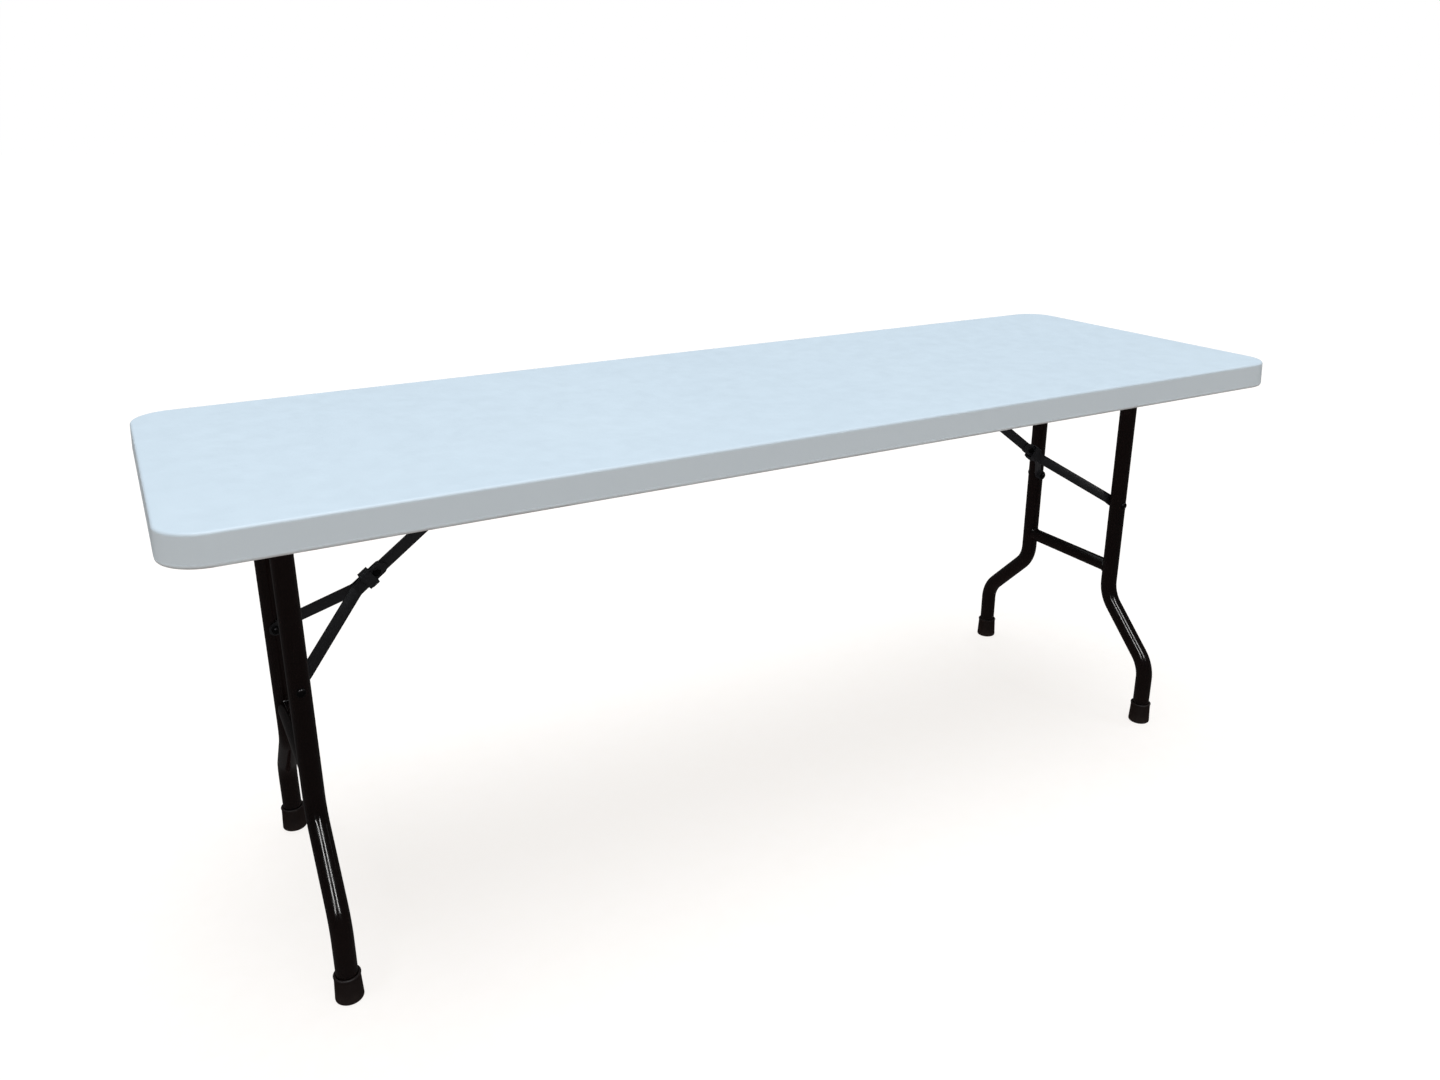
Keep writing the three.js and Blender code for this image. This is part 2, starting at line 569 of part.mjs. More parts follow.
function addLegSet(end, turn) {
  const legSet = new THREE.Group();
  legSet.rotation.z = turn;
  table.add(legSet);
  const edgeName = (sign) => (sign * Math.cos(turn) > 0 ? 'far' : 'near');

  const frame = new THREE.Group();
  frame.position.x = LEG_PIVOT_X;
  legSet.add(frame);
  const [tubeStart, tubeEnd] = [-PIVOT_TUBE_HALF, PIVOT_TUBE_HALF].map((y) => legPoint(y, 0));
  const pivotTube = straightTube(PIVOT_TUBE_RADIUS, TUBE_WALL, tubeStart, tubeEnd);
  addMesh(frame, `pivot_tube_${end}`, pivotTube, blackTube()).position.z = LEG_PIVOT_Z;
  addMesh(frame, `crossbar_${end}`, makeCrossbar(), blackTube());

  const brace = new THREE.Group();
  brace.position.set(
    LINK_PIVOT_X + linkLength * Math.cos(braceSlope), 0, LEG_PIVOT_Z - linkLength * Math.sin(braceSlope));
  brace.rotation.y = braceSlope;
  legSet.add(brace);
  addMesh(brace, `upper_link_${end}`, makeLink(), blackStrap());
  const armOuterY = armInnerY + ARM_THICKNESS;
  addMesh(brace, `joint_rivet_${end}`, makeHeadedPin(armOuterY + GAP), blackPlate());
  addMesh(brace, `lock_ring_${end}`, makeLockRing(), blackStrap()).position.x = RING_PLACE;

  const linkBracket = addMesh(legSet, `link_bracket_${end}`, makeLinkBracket(), blackStrap());
  linkBracket.position.x = LINK_PIVOT_X;
  const pinGrip = CLEVIS_EAR_Y + CLEVIS_PLATE + GAP;
  const linkPin = addMesh(legSet, `link_pin_${end}`, makeHeadedPin(pinGrip), greySteel());
  linkPin.position.set(LINK_PIVOT_X, 0, LEG_PIVOT_Z);

  for (const sign of [-1, 1]) {
    const place = `${end}_${edgeName(sign)}`;
    const halfTurn = sign < 0 ? Math.PI : 0;
    const side = new THREE.Group();
    side.rotation.z = halfTurn;
    frame.add(side);
    addMesh(side, `leg_${place}`, makeLeg(), blackTube());
    addMesh(side, `foot_cap_${place}`, makeFootCap(), darkRubber()).position.y = LEG_LOWER_Y;
    addMesh(side, `leg_bolt_${place}`, makeLegBolt(), blackPlate()).position.z = BRACE_BOLT_Z;
    addMesh(side, `pivot_bracket_${place}`, makePivotBracket(), blackStrap());

    const arm = sign < 0 ? makeArm().rotateX(Math.PI) : makeArm();
    addMesh(brace, `brace_arm_${place}`, arm, blackStrap());
    const nut = addMesh(brace, `leg_nut_${place}`, makeLegNut(), blackPlate());
    nut.position.x = armLength;
    nut.rotation.z = halfTurn;
  }
}

addLegSet('right', 0);
addLegSet('left', Math.PI);

export default table;
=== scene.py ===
# %% [markdown]
# # A folding table, piece by piece
# The table is a blow-moulded plastic top on two black tubular leg frames that fold up under it. Each frame
# is held upright by a Y-shaped brace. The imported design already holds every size, place and joint, so it is
# loaded first as a fixed frame. Everything below makes the finished surfaces around it and lets them ride
# on its bodies. One could model the table again from nothing, but then nothing would fit when the legs
# fold.

import json
import math

import bmesh
import bpy
from mathutils import Matrix, Vector
from mathutils.geometry import tessellate_polygon


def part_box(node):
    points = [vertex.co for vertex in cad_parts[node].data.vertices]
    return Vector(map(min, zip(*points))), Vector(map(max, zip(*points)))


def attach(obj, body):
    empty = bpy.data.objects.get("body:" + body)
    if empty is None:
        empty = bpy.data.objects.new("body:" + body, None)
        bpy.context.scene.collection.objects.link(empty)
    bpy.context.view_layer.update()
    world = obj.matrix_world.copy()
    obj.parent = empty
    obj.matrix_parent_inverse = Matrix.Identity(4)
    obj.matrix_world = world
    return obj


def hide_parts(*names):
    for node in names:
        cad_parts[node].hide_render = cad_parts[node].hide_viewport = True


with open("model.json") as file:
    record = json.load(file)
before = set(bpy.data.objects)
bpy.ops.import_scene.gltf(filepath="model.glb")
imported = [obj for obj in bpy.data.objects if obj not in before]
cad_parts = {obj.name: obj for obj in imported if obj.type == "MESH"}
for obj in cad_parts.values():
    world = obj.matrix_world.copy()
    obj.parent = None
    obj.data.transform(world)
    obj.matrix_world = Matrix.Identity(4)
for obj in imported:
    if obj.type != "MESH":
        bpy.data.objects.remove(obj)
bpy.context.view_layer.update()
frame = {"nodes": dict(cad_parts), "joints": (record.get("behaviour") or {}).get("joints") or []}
scene = bpy.context.scene
MM = 0.001

# %% [markdown]
# ## The camera
# The table is seen from a little above its long side, nearer to its left end. The camera could be aimed by
# a Track To constraint, but a matrix of its three axes is exact and also holds the slight roll of a
# hand-held camera. The shift keeps the table low in the frame.

# %% Place the camera
CAMERA_PLACE = Vector((-0.921825, -1.56502, 1.153518))
CAMERA_AZIMUTH = math.radians(-28.519)
CAMERA_ELEVATION = math.radians(18.357)
CAMERA_ROLL = math.radians(-0.257)
CAMERA_LENS = 28.144
CAMERA_SENSOR = 36.0
CAMERA_SHIFT = (0.00396, -0.0375)


def make_camera():
    flat = math.cos(CAMERA_ELEVATION)
    back = Vector((math.sin(CAMERA_AZIMUTH) * flat, -math.cos(CAMERA_AZIMUTH) * flat,
                   math.sin(CAMERA_ELEVATION)))
    level = Vector((0, 0, 1)).cross(back).normalized()
    turn = Matrix.Rotation(CAMERA_ROLL, 3, back)
    right, up = turn @ level, turn @ back.cross(level)
    camera = bpy.data.objects.new("camera", bpy.data.cameras.new("camera"))
    axes = Matrix((right, up, back)).transposed().to_4x4()
    camera.matrix_world = Matrix.Translation(CAMERA_PLACE) @ axes
    camera.data.sensor_width = CAMERA_SENSOR
    camera.data.lens = CAMERA_LENS
    camera.data.shift_x, camera.data.shift_y = CAMERA_SHIFT
    scene.collection.objects.link(camera)
    scene.camera = camera
    return camera


camera = make_camera()
print("camera at", [round(v, 3) for v in camera.location])

# %% [markdown]
# ## Small tools
# Most pieces here are a row of closed outlines joined into a skin: a turned foot cap, a bent strap, a
# channel. So one helper makes that skin from its outlines. Another gives a finished piece its shading, its
# material and the body that it rides on, so that no piece is forgotten.

# %% Make, settle and finish a piece
SHARP_ANGLE = math.radians(38)


def mesh_object(name, points, faces):
    mesh = bpy.data.meshes.new(name)
    mesh.from_pydata([tuple(p) for p in points], [], faces)
    piece = bpy.data.objects.new(name, mesh)
    scene.collection.objects.link(piece)
    return piece


def face_outwards(piece):
    shell = bmesh.new()
    shell.from_mesh(piece.data)
    bmesh.ops.remove_doubles(shell, verts=shell.verts, dist=1e-6)
    bmesh.ops.recalc_face_normals(shell, faces=shell.faces)
    shell.to_mesh(piece.data)
    shell.free()
    return piece


def settle(piece):
    """Turns the piece and its modifiers into one plain mesh."""
    view = bpy.context.evaluated_depsgraph_get()
    mesh = bpy.data.meshes.new_from_object(piece.evaluated_get(view), depsgraph=view)
    piece.modifiers.clear()
    piece.data = mesh
    return piece


def finish_piece(piece, finish, body, replaced=()):
    mesh = piece.data
    mesh.materials.clear()
    mesh.materials.append(finish)
    mesh.shade_smooth()
    mesh.set_sharp_from_angle(angle=SHARP_ANGLE)
    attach(piece, body)
    if replaced:
        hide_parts(*replaced)
    print(f"  {piece.name}: {len(mesh.polygons)} faces on {body}")
    return piece


# %% Join outlines into a skin, soften edges, join solids
def loft(name, loops, ends="cap"):
    """A skin over closed outlines of equal count; ends is cap, ring (last joins first) or open."""
    count = len(loops[0])
    points = [point for loop in loops for point in loop]
    faces = []
    for level in range(len(loops) if ends == "ring" else len(loops) - 1):
        a, b = level * count, (level + 1) % len(loops) * count
        faces += [(a + i, a + (i + 1) % count, b + (i + 1) % count, b + i) for i in range(count)]
    if ends == "cap":
        faces.append(tuple(range(count)))
        faces.append(tuple(range(len(points) - count, len(points))))
    return face_outwards(mesh_object(name, points, faces))


def soften(piece, width, segments=2):
    bevel = piece.modifiers.new("edges", "BEVEL")
    bevel.width, bevel.segments = width, segments
    bevel.limit_method, bevel.angle_limit = "ANGLE", math.radians(40)
    return settle(piece)


def combine(piece, other, operation):
    join = piece.modifiers.new("join", "BOOLEAN")
    join.object, join.operation, join.solver = other, operation, "EXACT"
    settle(piece)
    bpy.data.objects.remove(other)
    return piece


def arc(radius, start, end, steps, centre=(0, 0)):
    """Points round part of a circle, angles in degrees."""
    angles = [math.radians(start + (end - start) * i / steps) for i in range(steps + 1)]
    return [(centre[0] + radius * math.cos(a), centre[1] + radius * math.sin(a)) for a in angles]


# %% [markdown]
# ## The plastic of the top
# Blow-moulded polyethylene is white with a cool cast and has a fine pebbled grain that keeps scratches from
# showing. A plain white would look like paper. So the colour drifts very slightly over the length, the
# gloss is broken by a second pattern, and the grain is a bump of cells about a millimetre wide. A thin dark
# line along the lowest edge of the rim is painted shade: the shade under the rim's curl is painted into the
# colour, by height, in patches, and is a guess.

# %% Node helpers and the plastic
def start_finish(name, **settings):
    material = bpy.data.materials.new(name)
    material.use_nodes = True
    shader = material.node_tree.nodes["Principled BSDF"]
    for socket, value in settings.items():
        shader.inputs[socket.replace("_", " ")].default_value = value
    return material, material.node_tree, shader


def add_node(tree, kind, inputs=None, **settings):
    node = tree.nodes.new(kind)
    for key, value in settings.items():
        setattr(node, key, value)
    for socket, value in (inputs or {}).items():
        if isinstance(value, bpy.types.NodeSocket):
            tree.links.new(value, node.inputs[socket])
        else:
            node.inputs[socket].default_value = value
    return node


def place_on_object(tree):
    return add_node(tree, "ShaderNodeTexCoord").outputs["Object"]


def noise(tree, place, scale, detail=3.0, roughness=0.55):
    inputs = {"Vector": place, "Scale": scale, "Detail": detail, "Roughness": roughness}
    return add_node(tree, "ShaderNodeTexNoise", inputs).outputs["Fac"]


def spread(tree, value, low, high, start=0.3, end=0.7):
    """A pattern's value from start..end stretched to low..high."""
    inputs = {"Value": value, "From Min": start, "From Max": end, "To Min": low, "To Max": high}
    return add_node(tree, "ShaderNodeMapRange", inputs).outputs["Result"]


def blend_colours(tree, share, first, second):
    ramp = add_node(tree, "ShaderNodeMix", data_type="RGBA")
    tree.links.new(share, ramp.inputs["Factor"])
    for socket, colour in (("A", first), ("B", second)):
        value = next(s for s in ramp.inputs if s.name == socket and s.type == "RGBA")
        if isinstance(colour, bpy.types.NodeSocket):
            tree.links.new(colour, value)
        else:
            value.default_value = (*colour, 1)
    return next(s for s in ramp.outputs if s.type == "RGBA")


def bump(tree, shader, height, depth, strength):
    node = add_node(tree, "ShaderNodeBump", {"Height": height, "Distance": depth, "Strength": strength})
    tree.links.new(node.outputs["Normal"], shader.inputs["Normal"])


POLYMER_IOR = 1.5
PLASTIC_GLOSS = 0.3
PLASTIC_ROUGHNESS = (0.40, 0.52)
PLASTIC_WHITES = ((0.660, 0.710, 0.740), (0.678, 0.726, 0.752))
DRIFT_SCALE, GLOSS_PATCH_SCALE = 2.2, 38
# Painted shade: a dark band along the rim's lowest few millimetres, standing in for the shade under its curl.
PAINTED_SHADE_COLOUR = (0.20, 0.17, 0.155)
PAINTED_RIM_SHADE = 0.95
PAINTED_SHADE_BAND = (1 * MM, 4 * MM)
PAINTED_SHADE_SCALE, PAINTED_SHADE_LEAST = 24, 0.6
GRAIN_CELLS, GRAIN_WAVES = 620.0, 1500
GRAIN_DEPTH, GRAIN_STRENGTH = 0.1 * MM, 0.35


def height_of(tree, place):
    return add_node(tree, "ShaderNodeSeparateXYZ", {"Vector": place}).outputs["Z"]


def white_plastic():
    material, tree, shader = start_finish("moulded_polyethylene", IOR=POLYMER_IOR,
                                          Specular_IOR_Level=PLASTIC_GLOSS)
    place = place_on_object(tree)
    drift = spread(tree, noise(tree, place, DRIFT_SCALE, 4), 0, 1)
    clean = blend_colours(tree, drift, *PLASTIC_WHITES)
    # Painted shade: the colour darkens towards the rim's lowest edge, by height, in patches.
    rim_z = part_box("tabletop")[0].z
    edge = spread(tree, height_of(tree, place), PAINTED_RIM_SHADE, 0.0, rim_z + PAINTED_SHADE_BAND[0], rim_z + PAINTED_SHADE_BAND[1])
    patches = spread(tree, noise(tree, place, PAINTED_SHADE_SCALE, 5), PAINTED_SHADE_LEAST, 1.0)
    painted_shade = add_node(tree, "ShaderNodeMath", {0: edge, 1: patches}, operation="MULTIPLY").outputs[0]
    tree.links.new(blend_colours(tree, painted_shade, clean, PAINTED_SHADE_COLOUR), shader.inputs["Base Color"])
    gloss = spread(tree, noise(tree, place, GLOSS_PATCH_SCALE, 5), *PLASTIC_ROUGHNESS)
    tree.links.new(gloss, shader.inputs["Roughness"])
    cells = add_node(tree, "ShaderNodeTexVoronoi", {"Vector": place, "Scale": GRAIN_CELLS},
                     feature="SMOOTH_F1")
    waves = noise(tree, place, GRAIN_WAVES, 2)
    grain = add_node(tree, "ShaderNodeMath", {0: cells.outputs["Distance"], 1: waves}, operation="ADD")
    bump(tree, shader, grain.outputs[0], GRAIN_DEPTH, GRAIN_STRENGTH)
    return material


PLASTIC = white_plastic()
print("made", PLASTIC.name)

# %% [markdown]
# ## The black finishes
# Tubes and straps are steel under a baked powder coat. It is nearly black with a warm cast and quite
# glossy, but it flows out a little uneven, like the skin of an orange, so long reflections waver. Both the
# coat and the straps share one recipe with other numbers. Light scuffs and a breath of dust near the floor
# keep the black from looking like ink. The foot caps are a soft, dull, brown-black vinyl.

# %% Powder coat and vinyl
TUBE_GLOSS = 0.5
STRAP_GLOSS = 0.28
VINYL_GLOSS = 0.25
SCUFF_SCALE, SCUFF_FROM, SCUFF_TO = 55, 0.60, 0.78
COAT_DUST, DUST_LOW, DUST_HIGH = 0.22, 0.03, 0.30
PATCH_SCALE, COAT_GLOSS_SCALE = 26, 70
PEEL_DEPTH, PEEL_STRENGTH = 0.05 * MM, 0.6
VINYL_COLOUR, VINYL_DUSTY = (0.0110, 0.0040, 0.0028), (0.038, 0.024, 0.018)
VINYL_ROUGHNESS = (0.46, 0.66)
SOLE_DUST, WALL_DUST, SOLE_DUST_TO = 0.75, 0.05, 20 * MM
VINYL_DUST_SCALE, VINYL_GLOSS_SCALE, VINYL_GRAIN_SCALE = 90, 300, 1400
VINYL_GRAIN_DEPTH = 0.12 * MM


def powder_coat(name, colour, scuffed, gloss, roughness, peel_scale):
    material, tree, shader = start_finish(name, IOR=POLYMER_IOR, Specular_IOR_Level=gloss)
    place = place_on_object(tree)
    scuffs = spread(tree, noise(tree, place, SCUFF_SCALE, 9, 0.72), 0, 1, SCUFF_FROM, SCUFF_TO)
    dust = spread(tree, height_of(tree, place), COAT_DUST, 0.0, DUST_LOW, DUST_HIGH)
    share = add_node(tree, "ShaderNodeMath", {0: scuffs, 1: dust}, operation="MAXIMUM").outputs[0]
    patches = noise(tree, place, PATCH_SCALE, 6)
    patchy = add_node(tree, "ShaderNodeMath", {0: share, 1: patches}, operation="MULTIPLY").outputs[0]
    tree.links.new(blend_colours(tree, patchy, colour, scuffed), shader.inputs["Base Color"])
    uneven = spread(tree, noise(tree, place, COAT_GLOSS_SCALE, 6), roughness - 0.05, roughness + 0.07)
    tree.links.new(uneven, shader.inputs["Roughness"])
    bump(tree, shader, noise(tree, place, peel_scale, 2), PEEL_DEPTH, PEEL_STRENGTH)
    return material


def cap_vinyl():
    material, tree, shader = start_finish("foot_cap_vinyl", IOR=POLYMER_IOR, Specular_IOR_Level=VINYL_GLOSS)
    place = place_on_object(tree)
    dust = spread(tree, height_of(tree, place), SOLE_DUST, WALL_DUST, 0.0, SOLE_DUST_TO)
    patches = noise(tree, place, VINYL_DUST_SCALE, 7)
    share = add_node(tree, "ShaderNodeMath", {0: dust, 1: patches}, operation="MULTIPLY").outputs[0]
    tree.links.new(blend_colours(tree, share, VINYL_COLOUR, VINYL_DUSTY), shader.inputs["Base Color"])
    gloss = spread(tree, noise(tree, place, VINYL_GLOSS_SCALE, 4), *VINYL_ROUGHNESS)
    tree.links.new(gloss, shader.inputs["Roughness"])
    bump(tree, shader, noise(tree, place, VINYL_GRAIN_SCALE, 3), VINYL_GRAIN_DEPTH, PEEL_STRENGTH)
    return material


TUBE_COAT = powder_coat("powder_coat_tube", (0.0042, 0.0017, 0.0014), (0.020, 0.012, 0.010), TUBE_GLOSS,
                        roughness=0.14, peel_scale=420)
STRAP_COAT = powder_coat("powder_coat_strap", (0.0128, 0.0125, 0.0142), (0.052, 0.050, 0.054), STRAP_GLOSS,
                         roughness=0.34, peel_scale=700)
VINYL = cap_vinyl()
print("made", TUBE_COAT.name, STRAP_COAT.name, VINYL.name)

# %% [markdown]
# ## The bare metals
# Bolts, nuts and rivets are black-plated steel, and the screws under the top a duller grey one. Both are
# real metal, so their colour is the colour of their reflections. Fine noise in the roughness stands for
# tool marks and handling, which a mirror-like metal would lack.

# %% Black-plated and grey steel
STAIN_SCALE, MARK_SCALE, PIT_SCALE = 120, 900, 1600
PIT_DEPTH, PIT_STRENGTH = 0.03 * MM, 0.5


def plated_metal(name, bright, tarnished, roughness):
    material, tree, shader = start_finish(name, Metallic=1.0)
    place = place_on_object(tree)
    stain = spread(tree, noise(tree, place, STAIN_SCALE, 7), 0, 1)
    tree.links.new(blend_colours(tree, stain, bright, tarnished), shader.inputs["Base Color"])
    marks = spread(tree, noise(tree, place, MARK_SCALE, 4), *roughness)
    tree.links.new(marks, shader.inputs["Roughness"])
    bump(tree, shader, noise(tree, place, PIT_SCALE, 2), PIT_DEPTH, PIT_STRENGTH)
    return material


BLACK_PLATE = plated_metal("black_plate", (0.045, 0.043, 0.046), (0.025, 0.023, 0.023), (0.20, 0.34))
STEEL = plated_metal("grey_steel", (0.36, 0.36, 0.37), (0.22, 0.21, 0.21), (0.32, 0.48))
print("made", BLACK_PLATE.name, STEEL.name)

# %% [markdown]
# ## The dimpled underside
# The top is one hollow moulding. Its lower skin is pushed up in hundreds of small cones that stiffen it.
# They could be carved with booleans, but the same cone repeats on a grid, so Geometry Nodes set one tile on
# every point of a grid and weld the tiles together. Where a bracket is screwed on, the moulding has a flat
# pad, so those points get a flat tile.

# %% A node tree from named inputs
def start_tree(name, inputs):
    tree = bpy.data.node_groups.new(name, "GeometryNodeTree")
    tree.interface.new_socket("Geometry", in_out="INPUT", socket_type="NodeSocketGeometry")
    for label, kind in inputs.items():
        tree.interface.new_socket(label, in_out="INPUT", socket_type=f"NodeSocket{kind}")
    tree.interface.new_socket("Geometry", in_out="OUTPUT", socket_type="NodeSocketGeometry")
    return tree, tree.nodes.new("NodeGroupInput").outputs


def end_tree(tree, geometry, material):
    """Every tree ends in Realize Instances and Set Material."""
    real = add_node(tree, "GeometryNodeRealizeInstances", {"Geometry": geometry})
    painted = add_node(tree, "GeometryNodeSetMaterial", {"Geometry": real.outputs[0], "Material": material})
    out = tree.nodes.new("NodeGroupOutput")
    tree.links.new(painted.outputs[0], out.inputs["Geometry"])
    return tree


def run_tree(piece, tree, **values):
    """Runs a tree on a piece, with its inputs set by identifier, and keeps the plain mesh."""
    modifier = piece.modifiers.new("nodes", "NODES")
    modifier.node_group = tree
    for item in tree.interface.items_tree:
        label = item.name.replace(" ", "_")
        if item.in_out == "INPUT" and label in values:
            modifier[item.identifier] = values[label]
    return settle(piece)


# %% The tile tree and the sheet of tiles
TILE = 45 * MM
TILE_COLUMNS, TILE_ROWS = 37, 11
DIMPLE_STEPS = 12
DIMPLE_RINGS = [(13.0 * MM, 0.0), (12.0 * MM, 1.0 * MM), (8.6 * MM, 13.0 * MM), (7.0 * MM, 14.5 * MM)]
WELD_DISTANCE = 0.01 * MM
top_low, top_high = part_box("tabletop")
TOUCH_GAP = 0.3 * MM
underside_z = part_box("side_rail_near")[1].z + TOUCH_GAP


def square(half, z=0.0):
    return [(-half, -half, z), (half, -half, z), (half, half, z), (-half, half, z)]


def dimple_tile():
    """A square tile whose middle is pushed up into a cone."""
    points = square(TILE / 2)
    for radius, rise in DIMPLE_RINGS:
        points += [(x, y, rise) for x, y in arc(radius, -135, 225, DIMPLE_STEPS)[:-1]]
    faces, quarter = [], DIMPLE_STEPS // 4
    for side in range(4):
        rim = [4 + (side * quarter + i) % DIMPLE_STEPS for i in range(quarter + 1)]
        faces.append((side, (side + 1) % 4, *reversed(rim)))
    for ring in range(len(DIMPLE_RINGS) - 1):
        a, b = 4 + ring * DIMPLE_STEPS, 4 + (ring + 1) * DIMPLE_STEPS
        faces += [(a + i, a + (i + 1) % DIMPLE_STEPS, b + (i + 1) % DIMPLE_STEPS, b + i)
                  for i in range(DIMPLE_STEPS)]
    faces.append(tuple(range(b, b + DIMPLE_STEPS)))
    return mesh_object("dimple_tile", points, faces)


def tile_tree():
    tree, given = start_tree("moulded_tiles", {"Dimple": "Object", "Flat": "Object", "Material": "Material"})
    is_pad = add_node(tree, "GeometryNodeInputNamedAttribute", {"Name": "pad"}, data_type="BOOLEAN")
    pad = next(s for s in is_pad.outputs if s.name == "Attribute" and s.enabled)
    no_pad = add_node(tree, "FunctionNodeBooleanMath", {0: pad}, operation="NOT").outputs[0]
    joined = tree.nodes.new("GeometryNodeJoinGeometry")
    for tile, chosen in (("Dimple", no_pad), ("Flat", pad)):
        shape = add_node(tree, "GeometryNodeObjectInfo", {"Object": given[tile]}).outputs["Geometry"]
        inputs = {"Points": given["Geometry"], "Selection": chosen, "Instance": shape}
        placed = add_node(tree, "GeometryNodeInstanceOnPoints", inputs)
        tree.links.new(placed.outputs[0], joined.inputs[0])
    real = add_node(tree, "GeometryNodeRealizeInstances", {"Geometry": joined.outputs[0]})
    joints = {"Geometry": real.outputs[0], "Distance": WELD_DISTANCE}
    weld = add_node(tree, "GeometryNodeMergeByDistance", joints)
    return end_tree(tree, weld.outputs[0], given["Material"])


def tile_sheet():
    bracket_boxes = [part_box(n) for n in frame["nodes"] if n.startswith(("pivot_bracket", "link_bracket"))]
    spots, pads = [], []
    for column in range(TILE_COLUMNS):
        for row in range(TILE_ROWS):
            x = (column - (TILE_COLUMNS - 1) / 2) * TILE
            y = (row - (TILE_ROWS - 1) / 2) * TILE
            spots.append((x, y, underside_z))
            near = [low.x - TILE / 2 < x < high.x + TILE / 2 and low.y - TILE / 2 < y < high.y + TILE / 2
                    for low, high in bracket_boxes]
            pads.append(any(near))
    sheet = mesh_object("underside_sheet", spots, [])
    sheet.data.attributes.new("pad", "BOOLEAN", "POINT").data.foreach_set("value", pads)
    dimple = dimple_tile()
    flat = mesh_object("flat_tile", square(TILE / 2), [(0, 1, 2, 3)])
    run_tree(sheet, tile_tree(), Dimple=dimple, Flat=flat, Material=PLASTIC)
    bpy.data.objects.remove(dimple)
    bpy.data.objects.remove(flat)
    print("underside:", len(spots) - sum(pads), "dimples and", sum(pads), "flat pads")
    return sheet


sheet = tile_sheet()

# %% [markdown]
# ## The moulded top
# Seen from the side the top is a slab with soft edges: a rounded shoulder, a wall that leans out a little
# towards the floor so that it leaves its mould, the fine raised line where the mould halves met, and a rim
# that curls under. A bevelled box has none of that. So the section is drawn once as points of inset and
# height, and the same rounded rectangle is drawn at each of them. The underside is closed with the sheet of
# tiles, and four small vents are left open, as mouldings of this kind need.

# %% The section of the rim
CORNER_RADIUS = 58 * MM
CORNER_STEPS = 24
SHOULDER_RADIUS = 4.5 * MM
WALL_LEAN = 1.9 * MM
WALL_SET_BACK = 0.25 * MM
PARTING_HEIGHT = 5.0 * MM
RIM_ROUND = 3.2 * MM
RIM_WIDTH = 9 * MM
INNER_ROUND = 2 * MM
FOOT_ROUND = 3 * MM
FLAT_INSET = 30 * MM
SHOULDER_STEP = 2 * MM
WALL_CROWN = 0.1 * MM
PARTING_LINE = ((1.6, 1.15), (0.7, 1.0), (0.35, 0.35), (0, 0), (-0.35, 0.35), (-0.7, 1.0), (-1.6, 1.0))
INNER_DRAFT = 0.5 * MM
VENT_RADIUS = 5 * MM
VENT_DEPTH = 14 * MM
VENT_SIDES = 12


def rim_section():
    """(inset, height) from the flat of the top, over the edge and in under it."""
    top, low = top_high.z, top_low.z
    parting = low + PARTING_HEIGHT
    shoulder = (WALL_LEAN + SHOULDER_RADIUS, top - SHOULDER_RADIUS)
    section = [(FLAT_INSET, top), (shoulder[0] + SHOULDER_STEP, top)]
    section += arc(SHOULDER_RADIUS, 90, 180, 8, shoulder)
    section.append((WALL_LEAN - WALL_CROWN, shoulder[1] - SHOULDER_STEP))
    section += [(WALL_SET_BACK * back, parting + rise * MM) for rise, back in PARTING_LINE]
    section += arc(RIM_ROUND, 180, 270, 6, (WALL_SET_BACK + RIM_ROUND, low + RIM_ROUND))
    section += arc(INNER_ROUND, 270, 360, 4, (RIM_WIDTH - INNER_ROUND, low + INNER_ROUND))
    section += arc(FOOT_ROUND, 180, 90, 4, (RIM_WIDTH + FOOT_ROUND + INNER_DRAFT, underside_z - FOOT_ROUND))
    return section


def rounded_rectangle(half_x, half_y, radius, z, steps=CORNER_STEPS):
    points = []
    for quarter, (i, j) in enumerate(((1, 1), (-1, 1), (-1, -1), (1, -1))):
        centre = (i * (half_x - radius), j * (half_y - radius))
        points += [(x, y, z) for x, y in arc(radius, 90 * quarter, 90 * quarter + 90, steps, centre)]
    return points


def rim_loops():
    half_x, half_y = top_high.x, top_high.y
    return [rounded_rectangle(half_x - inset, half_y - inset, CORNER_RADIUS - inset, z)
            for inset, z in rim_section()]


loops = rim_loops()
print("rim section:", len(loops), "levels of", len(loops[0]), "points")

# %% Close the moulding
def sheet_border():
    """The corners of the tiles round the sheet, in order."""
    half_x, half_y = TILE_COLUMNS * TILE / 2, TILE_ROWS * TILE / 2
    xs = [-half_x + i * TILE for i in range(TILE_COLUMNS)]
    ys = [-half_y + i * TILE for i in range(TILE_ROWS)]
    border = [(x, -half_y) for x in xs] + [(half_x, y) for y in ys]
    border += [(-x, half_y) for x in xs] + [(-half_x, -y) for y in ys]
    return [(x, y, underside_z) for x, y in border]


def ring_faces(start, count):
    """The faces between one closed row of points and the next."""
    return [(start + i, start + (i + 1) % count, start + count + (i + 1) % count, start + count + i)
            for i in range(count)]


def vent_outlines():
    vent_x, vent_y = top_high.x - CORNER_RADIUS, top_high.y / 2
    centres = [(i * vent_x, j * vent_y) for i in (-1, 1) for j in (-1, 1)]
    return [[(x, y, underside_z) for x, y in arc(VENT_RADIUS, 0, 360, VENT_SIDES, centre)[:-1]]
            for centre in centres]


